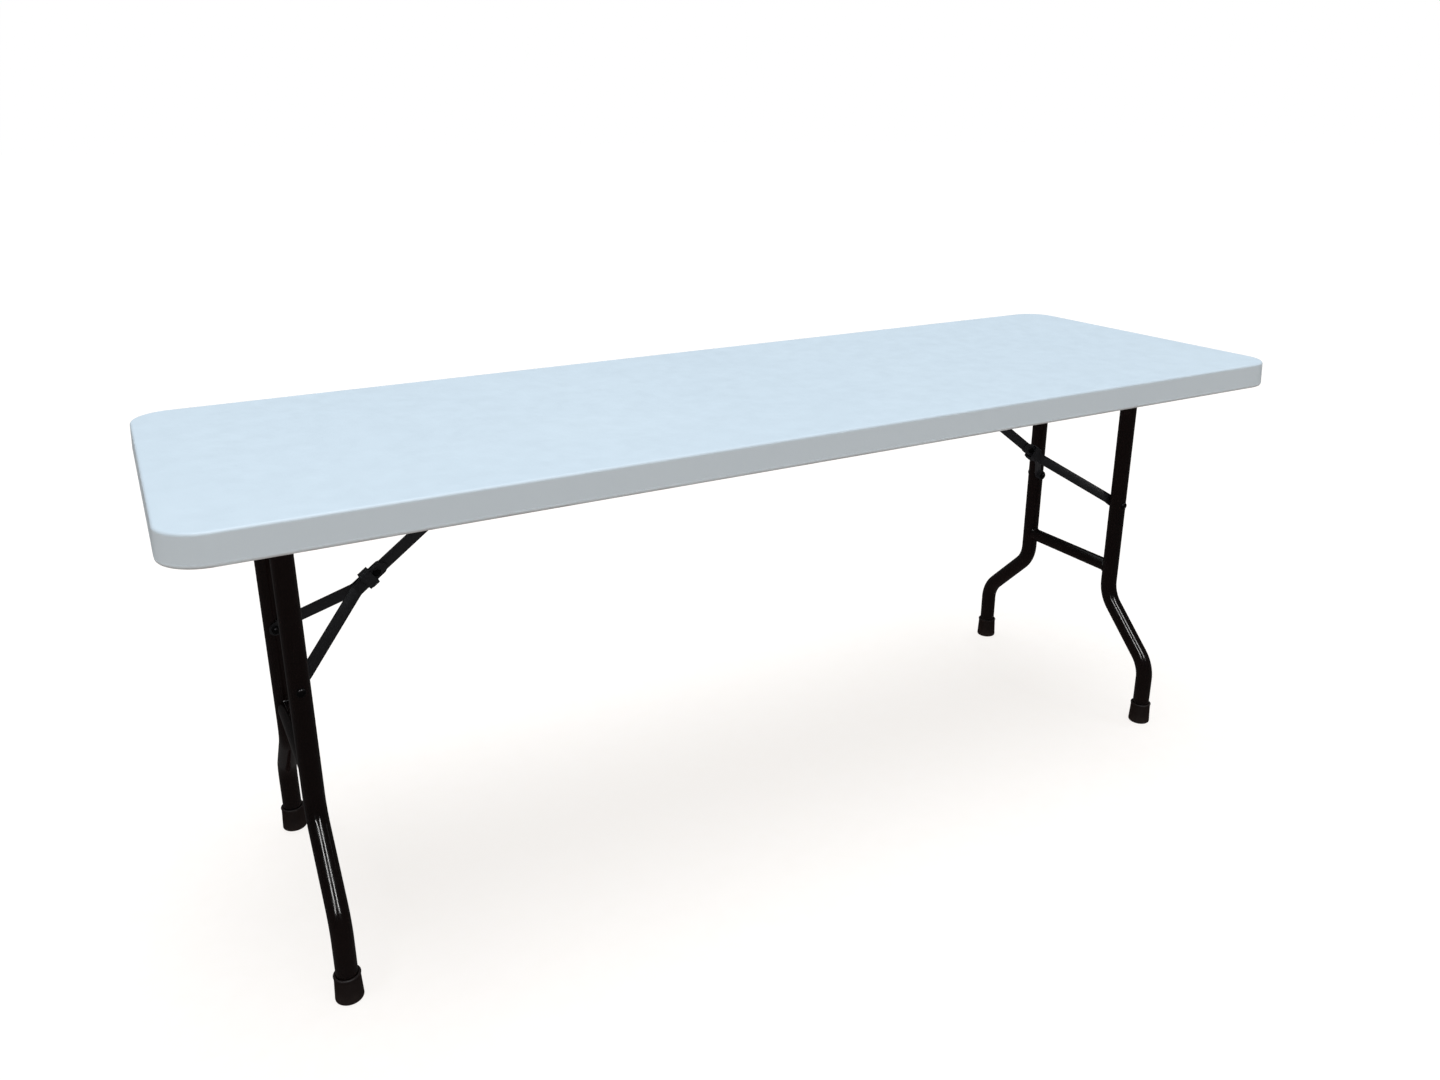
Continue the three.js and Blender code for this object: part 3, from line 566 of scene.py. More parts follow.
def make_top():
    vents = vent_outlines()
    outlines = [[Vector(p) for p in outline] for outline in (loops[-1], sheet_border(), *vents)]
    count = len(loops[0])
    points = [p for loop in loops for p in loop]
    faces = [tuple(range(count))]
    for level in range(len(loops) - 1):
        faces += ring_faces(level * count, count)
    start = len(points)
    points += [p for outline in outlines for p in outline]
    faces += [tuple(start + i for i in triangle) for triangle in tessellate_polygon(outlines)]
    for vent in vents:
        base = len(points)
        points += vent + [(x, y, z + VENT_DEPTH) for x, y, z in vent]
        faces += ring_faces(base, VENT_SIDES)
        faces.append(tuple(range(base + VENT_SIDES, base + 2 * VENT_SIDES)))
    base = len(points)
    points += [v.co for v in sheet.data.vertices]
    faces += [tuple(base + i for i in face.vertices) for face in sheet.data.polygons]
    bpy.data.objects.remove(sheet)
    return face_outwards(mesh_object("moulded_top", points, faces))


finish_piece(make_top(), PLASTIC, "top", ["tabletop"])

# %% [markdown]
# ## Bent tubes
# Legs, cross bars and pivot tubes are the same thing: round tube along a line, with a bend at each corner.
# A curve with a bevel would do, but Geometry Nodes keep the real numbers in view: the tube's radius and the
# radius it was bent to. The tree rounds the corners of a line, sweeps a circle along it and bores the two
# ends, so that a tube looks hollow where its end shows.

# %% The tube tree
SIDE_FACE_CORNERS = 4


def tube_tree():
    inputs = {"Tube Radius": "Float", "Bend Radius": "Float", "Bend Steps": "Int", "Sides": "Int",
              "Bore Share": "Float", "Bore Depth": "Float", "Material": "Material"}
    tree, given = start_tree("bent_tube", inputs)
    line = add_node(tree, "GeometryNodeMeshToCurve", {"Mesh": given["Geometry"]})
    fillet = {"Curve": line.outputs[0], "Radius": given["Bend Radius"], "Count": given["Bend Steps"]}
    bent = add_node(tree, "GeometryNodeFilletCurve", fillet, mode="POLY")
    ring = add_node(tree, "GeometryNodeCurvePrimitiveCircle",
                    {"Resolution": given["Sides"], "Radius": given["Tube Radius"]})
    sweep = {"Curve": bent.outputs[0], "Profile Curve": ring.outputs[0], "Fill Caps": True}
    tube = add_node(tree, "GeometryNodeCurveToMesh", sweep)
    corners = add_node(tree, "GeometryNodeInputMeshFaceNeighbors").outputs["Vertex Count"]
    is_end = add_node(tree, "FunctionNodeCompare", data_type="INT", operation="GREATER_THAN")
    first, second = [s for s in is_end.inputs if s.enabled]
    tree.links.new(corners, first)
    second.default_value = SIDE_FACE_CORNERS
    rim_faces = {"Mesh": tube.outputs[0], "Selection": is_end.outputs[0], "Offset Scale": 0.0}
    rim = add_node(tree, "GeometryNodeExtrudeMesh", rim_faces, mode="FACES")
    shrink = {"Geometry": rim.outputs["Mesh"], "Selection": rim.outputs["Top"], "Scale": given["Bore Share"]}
    narrowed = add_node(tree, "GeometryNodeScaleElements", shrink)
    bore = {"Mesh": narrowed.outputs[0], "Selection": rim.outputs["Top"], "Offset Scale": given["Bore Depth"]}
    bored = add_node(tree, "GeometryNodeExtrudeMesh", bore, mode="FACES")
    return end_tree(tree, bored.outputs["Mesh"], given["Material"])


TUBE_TREE = tube_tree()
TUBE_WALL = 1.5 * MM
TUBE_SIDES = 40
BEND_RADIUS = 65 * MM
BEND_STEPS = 14
BORE_DEPTH = 25 * MM


def wire_object(name, points, edges):
    """Points and edges only, as a line for a tree to follow."""
    piece = mesh_object(name, [], [])
    piece.data.from_pydata(points, edges, [])
    return piece


def bent_tube(name, line, radius):
    piece = wire_object(name, line, [(i, i + 1) for i in range(len(line) - 1)])
    return run_tree(piece, TUBE_TREE, Tube_Radius=radius, Bend_Radius=BEND_RADIUS, Bend_Steps=BEND_STEPS,
                    Sides=TUBE_SIDES, Bore_Share=1 - TUBE_WALL / radius, Bore_Depth=-BORE_DEPTH,
                    Material=TUBE_COAT)


# %% [markdown]
# ## One leg frame
# A frame is two legs, a cross bar between them and a long tube at the top that turns in two brackets. Each
# leg drops straight, swings out at 45 degrees and drops straight again into its cap. The places come from
# the frame's own joints and boxes, and only the radii are written here.

# %% Measure a frame and make its tubes
LEG_RADIUS = 15 * MM
PIVOT_RADIUS = 11 * MM
BAR_RADIUS = 12.5 * MM
LOW_BEND_Z = 119 * MM
CAP_FLOOR = 5.3 * MM
BAR_BITE = 0.4
ENDS = ("left", "right")
EDGES = {"near": -1, "far": 1}
joint_place = {joint["name"]: Vector(joint["pos_m"]) for joint in frame["joints"] if "pos_m" in joint}


def leg_measures(end):
    low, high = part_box(f"leg_{end}_far")
    drawn_radius = (high.x - low.x) / 2
    cap_low, cap_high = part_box(f"foot_cap_{end}_far")
    bar_low, bar_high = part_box(f"crossbar_{end}")
    bolt_low, bolt_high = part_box(f"leg_bolt_{end}_far")
    return {
        "x": joint_place[f"{end}_leg_fold"].x,
        "pivot_z": joint_place[f"{end}_leg_fold"].z,
        "upper_y": low.y + drawn_radius,
        "lower_y": (cap_low.y + cap_high.y) / 2,
        "bar_z": (bar_low.z + bar_high.z) / 2,
        "bolt_z": (bolt_low.z + bolt_high.z) / 2,
        "tube_half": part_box(f"pivot_tube_{end}")[1].y,
    }


measures = {end: leg_measures(end) for end in ENDS}
for end in ENDS:
    m = measures[end]
    body = f"{end}_leg_frame"
    for edge, side in EDGES.items():
        high_bend_z = LOW_BEND_Z + m["lower_y"] - m["upper_y"]
        line = [(m["x"], side * m["upper_y"], m["pivot_z"]), (m["x"], side * m["upper_y"], high_bend_z),
                (m["x"], side * m["lower_y"], LOW_BEND_Z), (m["x"], side * m["lower_y"], CAP_FLOOR)]
        leg = bent_tube(f"leg_tube_{end}_{edge}", line, LEG_RADIUS)
        finish_piece(leg, TUBE_COAT, body, [f"leg_{end}_{edge}"])
    reach = m["upper_y"] - LEG_RADIUS * BAR_BITE
    bar_line = [(m["x"], -reach, m["bar_z"]), (m["x"], reach, m["bar_z"])]
    bar = bent_tube(f"cross_bar_{end}", bar_line, BAR_RADIUS)
    finish_piece(bar, TUBE_COAT, body, [f"crossbar_{end}"])
    half = m["tube_half"]
    pivot_line = [(m["x"], -half, m["pivot_z"]), (m["x"], half, m["pivot_z"])]
    pivot = bent_tube(f"turning_tube_{end}", pivot_line, PIVOT_RADIUS)
    finish_piece(pivot, TUBE_COAT, body, [f"pivot_tube_{end}"])
print("legs spread from", round(measures["left"]["upper_y"], 4), "to", round(measures["left"]["lower_y"], 4))

# %% [markdown]
# ## Weld beads
# The bars are welded to the legs, and a weld leaves a rippled bead along the line where two tubes meet.
# That line has a formula: each point on the thinner tube goes out until it meets the leg. A torus would
# float off the saddle shape. So the points are worked out, and Geometry Nodes sweep a small circle along
# them whose radius swells and shrinks once for each drop of weld metal.

# %% The bead tree and the beads
BEAD_RADIUS = 1.9 * MM
BEAD_PITCH = 3.1 * MM
BEAD_RIPPLE = 0.16
BEAD_SIDES = 8
SADDLE_STEPS = 40
OPEN_SEAM = (188, 352)


def bead_tree():
    inputs = {"Bead Radius": "Float", "Pitch": "Float", "Ripple": "Float", "Step": "Float",
              "Material": "Material"}
    tree, given = start_tree("weld_bead", inputs)
    line = add_node(tree, "GeometryNodeMeshToCurve", {"Mesh": given["Geometry"]})
    even = add_node(tree, "GeometryNodeResampleCurve", {"Curve": line.outputs[0], "Length": given["Step"]},
                    mode="LENGTH")
    along = add_node(tree, "GeometryNodeSplineParameter").outputs["Length"]
    drops = add_node(tree, "ShaderNodeMath", {0: along, 1: given["Pitch"]}, operation="DIVIDE").outputs[0]
    angle = add_node(tree, "ShaderNodeMath", {0: drops, 1: math.tau}, operation="MULTIPLY").outputs[0]
    swell = add_node(tree, "ShaderNodeMath", {0: angle}, operation="SINE").outputs[0]
    size = add_node(tree, "ShaderNodeMath", {0: swell, 1: given["Ripple"], 2: 1.0}, operation="MULTIPLY_ADD")
    rippled = add_node(tree, "GeometryNodeSetCurveRadius",
                       {"Curve": even.outputs[0], "Radius": size.outputs[0]})
    ring = add_node(tree, "GeometryNodeCurvePrimitiveCircle",
                    {"Resolution": BEAD_SIDES, "Radius": given["Bead Radius"]})
    sweep = {"Curve": rippled.outputs[0], "Profile Curve": ring.outputs[0], "Fill Caps": True}
    bead = add_node(tree, "GeometryNodeCurveToMesh", sweep)
    return end_tree(tree, bead.outputs[0], given["Material"])


def saddle(x, z, leg_y, radius, outward, start=0, end=360):
    """Where a bar along Y, at x and z, meets the wall of a leg that stands at leg_y."""
    spans = SADDLE_STEPS if end - start == 360 else SADDLE_STEPS - 1
    points = []
    for i in range(SADDLE_STEPS):
        angle = math.radians(start + (end - start) * i / spans)
        across = radius * math.cos(angle)
        y = leg_y + outward * math.sqrt(LEG_RADIUS ** 2 - across ** 2)
        points.append((x + across, y, z + radius * math.sin(angle)))
    return points


BEAD_TREE = bead_tree()
for end in ENDS:
    m = measures[end]
    points, edges = [], []
    for side in EDGES.values():
        leg_y = side * m["upper_y"]
        closed = saddle(m["x"], m["bar_z"], leg_y, BAR_RADIUS, -side)
        opened = [saddle(m["x"], m["pivot_z"], leg_y, PIVOT_RADIUS, way, *OPEN_SEAM) for way in (-1, 1)]
        for seam in (closed, *opened):
            start = len(points)
            points += seam
            edges += [(start + i, start + i + 1) for i in range(len(seam) - 1)]
            if seam is closed:
                edges.append((len(points) - 1, start))
    beads = wire_object(f"weld_beads_{end}", points, edges)
    run_tree(beads, BEAD_TREE, Bead_Radius=BEAD_RADIUS, Pitch=BEAD_PITCH, Ripple=BEAD_RIPPLE,
             Step=BEAD_PITCH / 5, Material=TUBE_COAT)
    finish_piece(beads, TUBE_COAT, f"{end}_leg_frame")

# %% [markdown]
# ## Foot caps
# Each leg stands in a moulded vinyl cap: a slightly tapered cup, wider at the floor, with a thick bead at
# its mouth where it grips the tube. It is round, so it is a section turned about the leg. The section is
# drawn with its roundings, because the light on a cap is all in its edges.

# %% Turn a section about a line
def turned(name, section, place, axis=(0, 0, 1), sides=40):
    """A solid of (radius, height) points turned about a line through place."""
    turn = Vector((0, 0, 1)).rotation_difference(Vector(axis)).to_matrix()
    rings = []
    for radius, height in section:
        ring = [Vector((x, y, height)) for x, y in arc(radius, 0, 360, sides)[:-1]]
        rings.append([Vector(place) + turn @ point for point in ring])
    return loft(name, rings)


CAP_FOOT_RADIUS = 19.5 * MM
CAP_WAIST_RADIUS = 18 * MM
CAP_LIP_RADIUS = 18.8 * MM
CAP_BORE = 15.25 * MM
CAP_SIDES = 48
FOOT_EDGE, FOOT_TAPER, FOOT_TOP = 2.6 * MM, 0.35 * MM, 9 * MM
DISH_RADIUS, DISH_DEPTH, DISH_SLOPE = 11 * MM, 0.6 * MM, 1 * MM
LIP_ROUND, LIP_HEIGHT = 1.7 * MM, 6 * MM
MOUTH_EASE, MOUTH_DEPTH = 0.5 * MM, 0.8 * MM
TUBE_SEAT = CAP_FLOOR - 0.2 * MM
TINY = 0.2 * MM


def cap_section(height):
    section = [(TINY, DISH_DEPTH), (DISH_RADIUS, DISH_DEPTH), (DISH_RADIUS + DISH_SLOPE, 0)]
    section += arc(FOOT_EDGE, -90, 0, 5, (CAP_FOOT_RADIUS - FOOT_EDGE, FOOT_EDGE))
    section += [(CAP_FOOT_RADIUS - FOOT_TAPER, FOOT_TOP), (CAP_WAIST_RADIUS, height - LIP_HEIGHT)]
    section += arc(LIP_ROUND, -60, 90, 7, (CAP_LIP_RADIUS - LIP_ROUND, height - LIP_ROUND))
    section += [(CAP_BORE + MOUTH_EASE, height), (CAP_BORE, height - MOUTH_DEPTH)]
    return section + [(CAP_BORE, TUBE_SEAT), (TINY, TUBE_SEAT)]


for end in ENDS:
    for edge in EDGES:
        low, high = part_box(f"foot_cap_{end}_{edge}")
        place = ((low.x + high.x) / 2, (low.y + high.y) / 2, low.z)
        cap = turned(f"vinyl_cap_{end}_{edge}", cap_section(high.z - low.z), place, sides=CAP_SIDES)
        finish_piece(cap, VINYL, f"{end}_leg_frame", [f"foot_cap_{end}_{edge}"])

# %% [markdown]
# ## The brace: link and arms
# The brace lies in one straight line when the table stands: an upper link from the clevis, then two arms
# that part round the leg bolts. All are flat strap steel with round ends. An arm could be bent with a
# Simple Deform modifier, but its two bends are plain arcs, so its section, a thin rectangle, is set down at
# places along the bent line, narrower where the ends are round. Then the edges are softened, as a
# stamping's are.

# %% Places along the brace
LINK_WIDTH, LINK_THICKNESS, LINK_TAIL = 17.6 * MM, 4 * MM, 13 * MM
ARM_WIDTH, ARM_THICKNESS, ARM_OVERHANG = 18.5 * MM, 3 * MM, 7 * MM
ARM_FORK, ARM_FLAT, ARM_BEND = 38 * MM, 14 * MM, 9 * MM
ROUND_END_STEPS = 12
STAMPED_EDGE = 0.45 * MM
NARROWEST = 0.04
BEND_STATIONS = 8


def brace_axes(end):
    """The joint of link and arms, the way down the brace, and the way across it."""
    joint = joint_place[f"{end}_arms_fold"]
    down = (joint - joint_place[f"{end}_link_swing"]).normalized()
    across = Vector((0, 1, 0)).cross(down)
    return joint, down, across * (1 if across.z > 0 else -1)


def brace_lengths(end):
    joint, down, across = brace_axes(end)
    bolt = Vector((measures[end]["x"], 0, measures[end]["bolt_z"]))
    return (joint - joint_place[f"{end}_link_swing"]).length, (bolt - joint).dot(down)


def strap(name, end, stations, width, thickness):
    """A flat bar from (along, y, lean, half width) stations, in the brace's own axes."""
    joint, down, across = brace_axes(end)
    rings = []
    for along, y, lean, half in stations:
        ring = []
        for side, layer in ((-1, -1), (1, -1), (1, 1), (-1, 1)):
            step = layer * thickness / 2
            spot = joint + down * (along - step * math.sin(lean)) + across * (side * half)
            ring.append(spot + Vector((0, y + step * math.cos(lean), 0)))
        rings.append(ring)
    return soften(loft(name, rings), STAMPED_EDGE, 3)


def half_width(along, first, last, width):
    """Half the strap's width: full between the two round centres, and falling round each end."""
    beyond = max(first - along, along - last, 0)
    return math.sqrt(max((width / 2) ** 2 - beyond ** 2, (NARROWEST * width) ** 2))


def round_end_places(centre, radius, way):
    angles = [math.pi / 2 * i / ROUND_END_STEPS for i in range(ROUND_END_STEPS + 1)]
    return [centre + way * radius * math.sin(angle) for angle in angles]


def make_link(end):
    length = brace_lengths(end)[0]
    half = LINK_WIDTH / 2
    places = sorted(round_end_places(-length, half, -1) + round_end_places(LINK_TAIL, half, 1))
    stations = [(s, 0, 0, half_width(s, -length, LINK_TAIL, LINK_WIDTH)) for s in places]
    return strap(f"link_strap_{end}", end, stations, LINK_WIDTH, LINK_THICKNESS)


for end in ENDS:
    finish_piece(make_link(end), STRAP_COAT, f"{end}_link", [f"upper_link_{end}"])
print("link and arm lengths:", [round(v, 4) for v in brace_lengths("right")])

# %% Bend and make the arms
def arm_line(end, side):
    """(along, y, lean) down the middle of an arm, with an arc at each of its two bends."""
    arm_length = brace_lengths(end)[1]
    upper = LINK_THICKNESS / 2 + TOUCH_GAP + ARM_THICKNESS / 2
    lower = measures[end]["upper_y"] - LEG_RADIUS - TOUCH_GAP - ARM_THICKNESS / 2
    fork, foot = Vector((ARM_FORK, upper)), Vector((arm_length - ARM_FLAT, lower))
    lean = math.atan2(foot.y - fork.y, foot.x - fork.x)
    cut = ARM_BEND * math.tan(lean / 2)
    line = [(s, upper, 0) for s in round_end_places(-ARM_OVERHANG, ARM_WIDTH / 2, -1)[::-1]]
    for bend, way in ((fork, 1), (foot, -1)):
        start = bend - Vector((cut, 0)) if way > 0 else bend - (foot - fork).normalized() * cut
        first = 0 if way > 0 else lean
        centre = start + Vector((-math.sin(first), math.cos(first))) * way * ARM_BEND
        for i in range(BEND_STATIONS + 1):
            turn = first + way * lean * i / BEND_STATIONS
            spot = centre + Vector((math.sin(turn), -math.cos(turn))) * way * ARM_BEND
            line.append((spot.x, spot.y, turn))
    line += [(s, lower, 0) for s in round_end_places(arm_length, ARM_WIDTH / 2, 1)]
    return [(s, side * y, side * turn) for s, y, turn in line]


for end in ENDS:
    arm_length = brace_lengths(end)[1]
    for edge, side in EDGES.items():
        stations = [(*spot, half_width(spot[0], -ARM_OVERHANG, arm_length, ARM_WIDTH))
                    for spot in arm_line(end, side)]
        arm = strap(f"arm_strap_{end}_{edge}", end, stations, ARM_WIDTH, ARM_THICKNESS)
        finish_piece(arm, STRAP_COAT, f"{end}_arms", [f"brace_arm_{end}_{edge}"])

# %% [markdown]
# ## The lock ring
# A short sleeve slides down over the joint of link and arms and keeps the brace from folding. It is bent
# from sheet, so its corners are round and its mouths flare a little, which lets it find its way over the
# strap ends. A small tab on its underside is there to push with a finger. The sleeve is drawn as four
# closed outlines, outside and inside, joined all the way round, and the tab is joined to it as a solid.

# %% Make the lock rings
RING_LENGTH, RING_WALL, RING_PLAY, RING_PLACE = 16 * MM, 1.7 * MM, 2.4 * MM, 14.5 * MM
RING_CORNER = 4 * MM
RING_FLARE = 0.35 * MM
MOUTH_LENGTH, MOUTH_OPENING = 1.2 * MM, 0.2 * MM
RING_EDGE = 0.3 * MM
TAB_INSET, TAB_CORNER = 0.4 * MM, 1.2 * MM
TAB_LENGTH, TAB_WIDTH, TAB_HEIGHT = 12 * MM, 10 * MM, 3 * MM
RIVET_HEAD_HEIGHT = 2 * MM
RIVET_ROOM = 0.5 * MM


def in_brace(end, points):
    joint, down, across = brace_axes(end)
    return [joint + down * along + across * over + Vector((0, y, 0)) for along, over, y in points]


def make_ring(end):
    inner_over = ARM_WIDTH / 2 + RING_PLAY
    inner_y = LINK_THICKNESS / 2 + TOUCH_GAP + ARM_THICKNESS + TOUCH_GAP + RIVET_HEAD_HEIGHT + RIVET_ROOM
    half = RING_LENGTH / 2
    neck, waist = half - MOUTH_LENGTH, RING_WALL - RING_FLARE
    outside = [(-half, RING_WALL), (-neck, waist), (neck, waist), (half, RING_WALL)]
    layers = outside + [(half, MOUTH_OPENING), (neck, 0), (-neck, 0), (-half, MOUTH_OPENING)]
    rings = []
    for along, grow in layers:
        corner = RING_CORNER - RING_WALL + grow
        outline = rounded_rectangle(inner_over + grow, inner_y + grow, corner, RING_PLACE + along, 6)
        rings.append(in_brace(end, [(z, x, y) for x, y, z in outline]))
    sleeve = loft(f"lock_sleeve_{end}", rings, "ring")
    under = -inner_over - RING_WALL
    tab_start = RING_PLACE - half + TAB_INSET
    tab_loops = []
    for along in (tab_start, tab_start + TAB_LENGTH):
        outline = rounded_rectangle(TAB_HEIGHT / 2, TAB_WIDTH / 2, TAB_CORNER, along, 3)
        tab_loops.append(in_brace(end, [(z, under + x, y) for x, y, z in outline]))
    return soften(combine(sleeve, loft("tab", tab_loops), "UNION"), RING_EDGE)


for end in ENDS:
    finish_piece(make_ring(end), STRAP_COAT, f"{end}_ring", [f"lock_ring_{end}"])

# %% [markdown]
# ## Rails and brackets
# Under the top, two steel channels run along the edges and stiffen it. Four brackets carry the turning
# tubes, and two clevises hold the upper links. All of them are folded from sheet. A channel is one bent
# section pulled along the table. A bracket is an upright plate and a flange, joined and softened, with a
# round lower end as the stamping has.

# %% Rails
RAIL_WALL = 1.5 * MM
RAIL_BEND = 2.5 * MM
RAIL_EDGE = 0.3 * MM


def rail_section(low, high):
    """The channel's outline in Y and Z: outside up and over, then back inside, with rounded bends."""
    y0, y1, z0, z1 = low.y, high.y, low.z, high.z
    inner = RAIL_BEND - RAIL_WALL
    outside = [(y1, z0)] + arc(RAIL_BEND, 0, 90, 5, (y1 - RAIL_BEND, z1 - RAIL_BEND))
    outside += arc(RAIL_BEND, 90, 180, 5, (y0 + RAIL_BEND, z1 - RAIL_BEND)) + [(y0, z0)]
    inside = [(y0 + RAIL_WALL, z0)] + arc(inner, 180, 90, 5, (y0 + RAIL_BEND, z1 - RAIL_BEND))
    inside += arc(inner, 90, 0, 5, (y1 - RAIL_BEND, z1 - RAIL_BEND)) + [(y1 - RAIL_WALL, z0)]
    return outside + inside


for edge in EDGES:
    low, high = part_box(f"side_rail_{edge}")
    rings = [[(x, y, z) for y, z in rail_section(low, high)] for x in (low.x, high.x)]
    rail = soften(loft(f"channel_rail_{edge}", rings), RAIL_EDGE)
    finish_piece(rail, STRAP_COAT, "top", [f"side_rail_{edge}"])

# %% Brackets
PLATE_EDGE = 0.5 * MM
BRACKET_PLATE, BRACKET_ROUND = 3 * MM, 16 * MM
TUBE_PLAY = 0.6 * MM
CLEVIS_PLATE, CLEVIS_ROUND, CLEVIS_EAR_Y = 2 * MM, 10.5 * MM, 2.5 * MM
CLEVIS_CORNER = 5 * MM


def upright(name, outline, centre, y0, y1):
    """A plate of an outline in X and Z about a pivot, from y0 to y1."""
    return loft(name, [[(centre.x + x, y, centre.z + z) for x, z in outline] for y in (y0, y1)])


def block(name, low, high):
    rings = [[(low.x, low.y, z), (high.x, low.y, z), (high.x, high.y, z), (low.x, high.y, z)]
             for z in (low.z, high.z)]
    return loft(name, rings)


def make_pivot_bracket(end, edge):
    low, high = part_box(f"pivot_bracket_{end}_{edge}")
    centre = joint_place[f"{end}_leg_fold"]
    side, half = EDGES[edge], (high.x - low.x) / 2
    rise = high.z - centre.z
    outline = arc(BRACKET_ROUND, 180, 360, 20)
    outline += [(half, rise - BRACKET_PLATE), (half, rise), (-half, rise), (-half, rise - BRACKET_PLATE)]
    outer = high.y if side > 0 else low.y
    plate = upright(f"pivot_plate_{end}_{edge}", outline, centre, outer - side * BRACKET_PLATE, outer)
    flange_low = Vector((low.x, min(low.y, high.y), high.z - BRACKET_PLATE))
    plate = combine(plate, block("flange", flange_low, high), "UNION")
    tube_room = [(x, z) for x, z in arc(PIVOT_RADIUS + TUBE_PLAY, 0, 360, 32)[:-1]]
    inner, beyond = outer - side * 3 * BRACKET_PLATE, outer + side * BRACKET_PLATE
    tool = upright("tube_hole", tube_room, centre, inner, beyond)
    return soften(combine(plate, tool, "DIFFERENCE"), PLATE_EDGE)


def make_clevis(end):
    low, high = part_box(f"link_bracket_{end}")
    centre = joint_place[f"{end}_link_swing"]
    rise = high.z - centre.z - CLEVIS_PLATE / 2
    base_loops = [rounded_rectangle((high.x - low.x) / 2, high.y, CLEVIS_CORNER, z, 5)
                  for z in (high.z - CLEVIS_PLATE, high.z)]
    middle = (low.x + high.x) / 2
    base = loft(f"clevis_{end}", [[(x + middle, y, z) for x, y, z in loop] for loop in base_loops])
    outline = arc(CLEVIS_ROUND, 180, 360, 18) + [(CLEVIS_ROUND, rise), (-CLEVIS_ROUND, rise)]
    for side in EDGES.values():
        ear = upright("ear", outline, centre, side * CLEVIS_EAR_Y, side * (CLEVIS_EAR_Y + CLEVIS_PLATE))
        combine(base, ear, "UNION")
    return soften(base, PLATE_EDGE)


for end in ENDS:
    for edge in EDGES:
        finish_piece(make_pivot_bracket(end, edge), STRAP_COAT, "top",
                     [f"pivot_bracket_{end}_{edge}"])
    finish_piece(make_clevis(end), STRAP_COAT, "top", [f"link_bracket_{end}"])

# %% [markdown]
# ## Fasteners
# Screws, rivets, bolts and nuts repeat, and each kind is one shape. So each is made once, standing on its
# seat along +Z, and Geometry Nodes set it on points that carry the way it faces. All of one kind on one
# body become one piece. The screws have a real cross recess and the nuts a real hexagon, because those
# catch the light.

# %% The fastener tree
def fastener_tree():
    tree, given = start_tree("fasteners", {"Fastener": "Object", "Material": "Material"})
    shape = add_node(tree, "GeometryNodeObjectInfo", {"Object": given["Fastener"]}).outputs["Geometry"]
    facing = add_node(tree, "GeometryNodeInputNamedAttribute", {"Name": "facing"}, data_type="FLOAT_VECTOR")
    way = next(s for s in facing.outputs if s.name == "Attribute" and s.enabled)
    turn = add_node(tree, "FunctionNodeAlignRotationToVector", {"Vector": way}, axis="Z").outputs[0]
    inputs = {"Points": given["Geometry"], "Instance": shape, "Rotation": turn}
    placed = add_node(tree, "GeometryNodeInstanceOnPoints", inputs)
    return end_tree(tree, placed.outputs[0], given["Material"])


FASTENER_TREE = fastener_tree()


def set_fasteners(name, shape, places, finish, body, replaced):
    piece = mesh_object(name, [place for place, way in places], [])
    ways = [value for place, way in places for value in way]
    piece.data.attributes.new("facing", "FLOAT_VECTOR", "POINT").data.foreach_set("vector", ways)
    run_tree(piece, FASTENER_TREE, Fastener=shape, Material=finish)
    return finish_piece(piece, finish, body, replaced)


# %% The shapes of the fasteners
HEAD_STEPS = 6
SCREW_LENGTH, SCREW_SHANK, SCREW_POINT = 14 * MM, 2 * MM, 3 * MM
SCREW_HEAD, SCREW_HEAD_HEIGHT = 4.2 * MM, 2.4 * MM
RECESS_REACH, RECESS_HALF, RECESS_DEPTH, RECESS_ABOVE = 2.3 * MM, 0.45 * MM, 1.1 * MM, 0.2 * MM
PIN_RADIUS, PIN_HEAD = 3 * MM, 6 * MM
HEAD_EDGE, BOLT_HEAD_EDGE = 0.5 * MM, 0.6 * MM
BOLT_HEAD, BOLT_HEAD_HEIGHT, BOLT_LENGTH = 6.5 * MM, 3.6 * MM, 29 * MM
NUT_RADIUS, NUT_FLATS, NUT_HEIGHT, NUT_EDGE = 6.5 * MM, 3.2 * MM, 6 * MM, 0.35 * MM
CROWN_RADIUS, STUB_LENGTH, STUB_BITE = 4.6 * MM, 3.3 * MM, 0.5 * MM


def dome(radius, height, edge):
    """The (radius, height) points of a low domed head on its seat."""
    rise = height - edge
    points = [(radius, 0), (radius, edge)]
    points += [(radius * math.cos(a), edge + rise * math.sin(a))
               for a in (math.pi / 2 * i / HEAD_STEPS for i in range(1, HEAD_STEPS))]
    return points + [(TINY, height)]


def make_screw():
    shank = [(TINY, -SCREW_LENGTH), (SCREW_SHANK, -SCREW_LENGTH + SCREW_POINT), (SCREW_SHANK, 0)]
    section = shank + dome(SCREW_HEAD, SCREW_HEAD_HEIGHT, HEAD_EDGE)
    screw = turned("pan_screw", section, (0, 0, 0), sides=20)
    low, high = SCREW_HEAD_HEIGHT - RECESS_DEPTH, SCREW_HEAD_HEIGHT + RECESS_ABOVE
    for x, y in ((RECESS_REACH, RECESS_HALF), (RECESS_HALF, RECESS_REACH)):
        combine(screw, block("blade", Vector((-x, -y, low)), Vector((x, y, high))), "DIFFERENCE")
    return screw


def make_pin(grip):
    """A headed pin along Z, with a head at each end of its grip."""
    upper = [(PIN_RADIUS, 0)] + [(r, z + grip) for r, z in dome(PIN_HEAD, RIVET_HEAD_HEIGHT, HEAD_EDGE)]
    lower = [(r, -z) for r, z in upper[::-1]]
    shank = [(PIN_RADIUS, -grip), (PIN_RADIUS, grip)]
    return turned("headed_pin", lower[:-1] + shank + upper[1:], (0, 0, 0), sides=28)


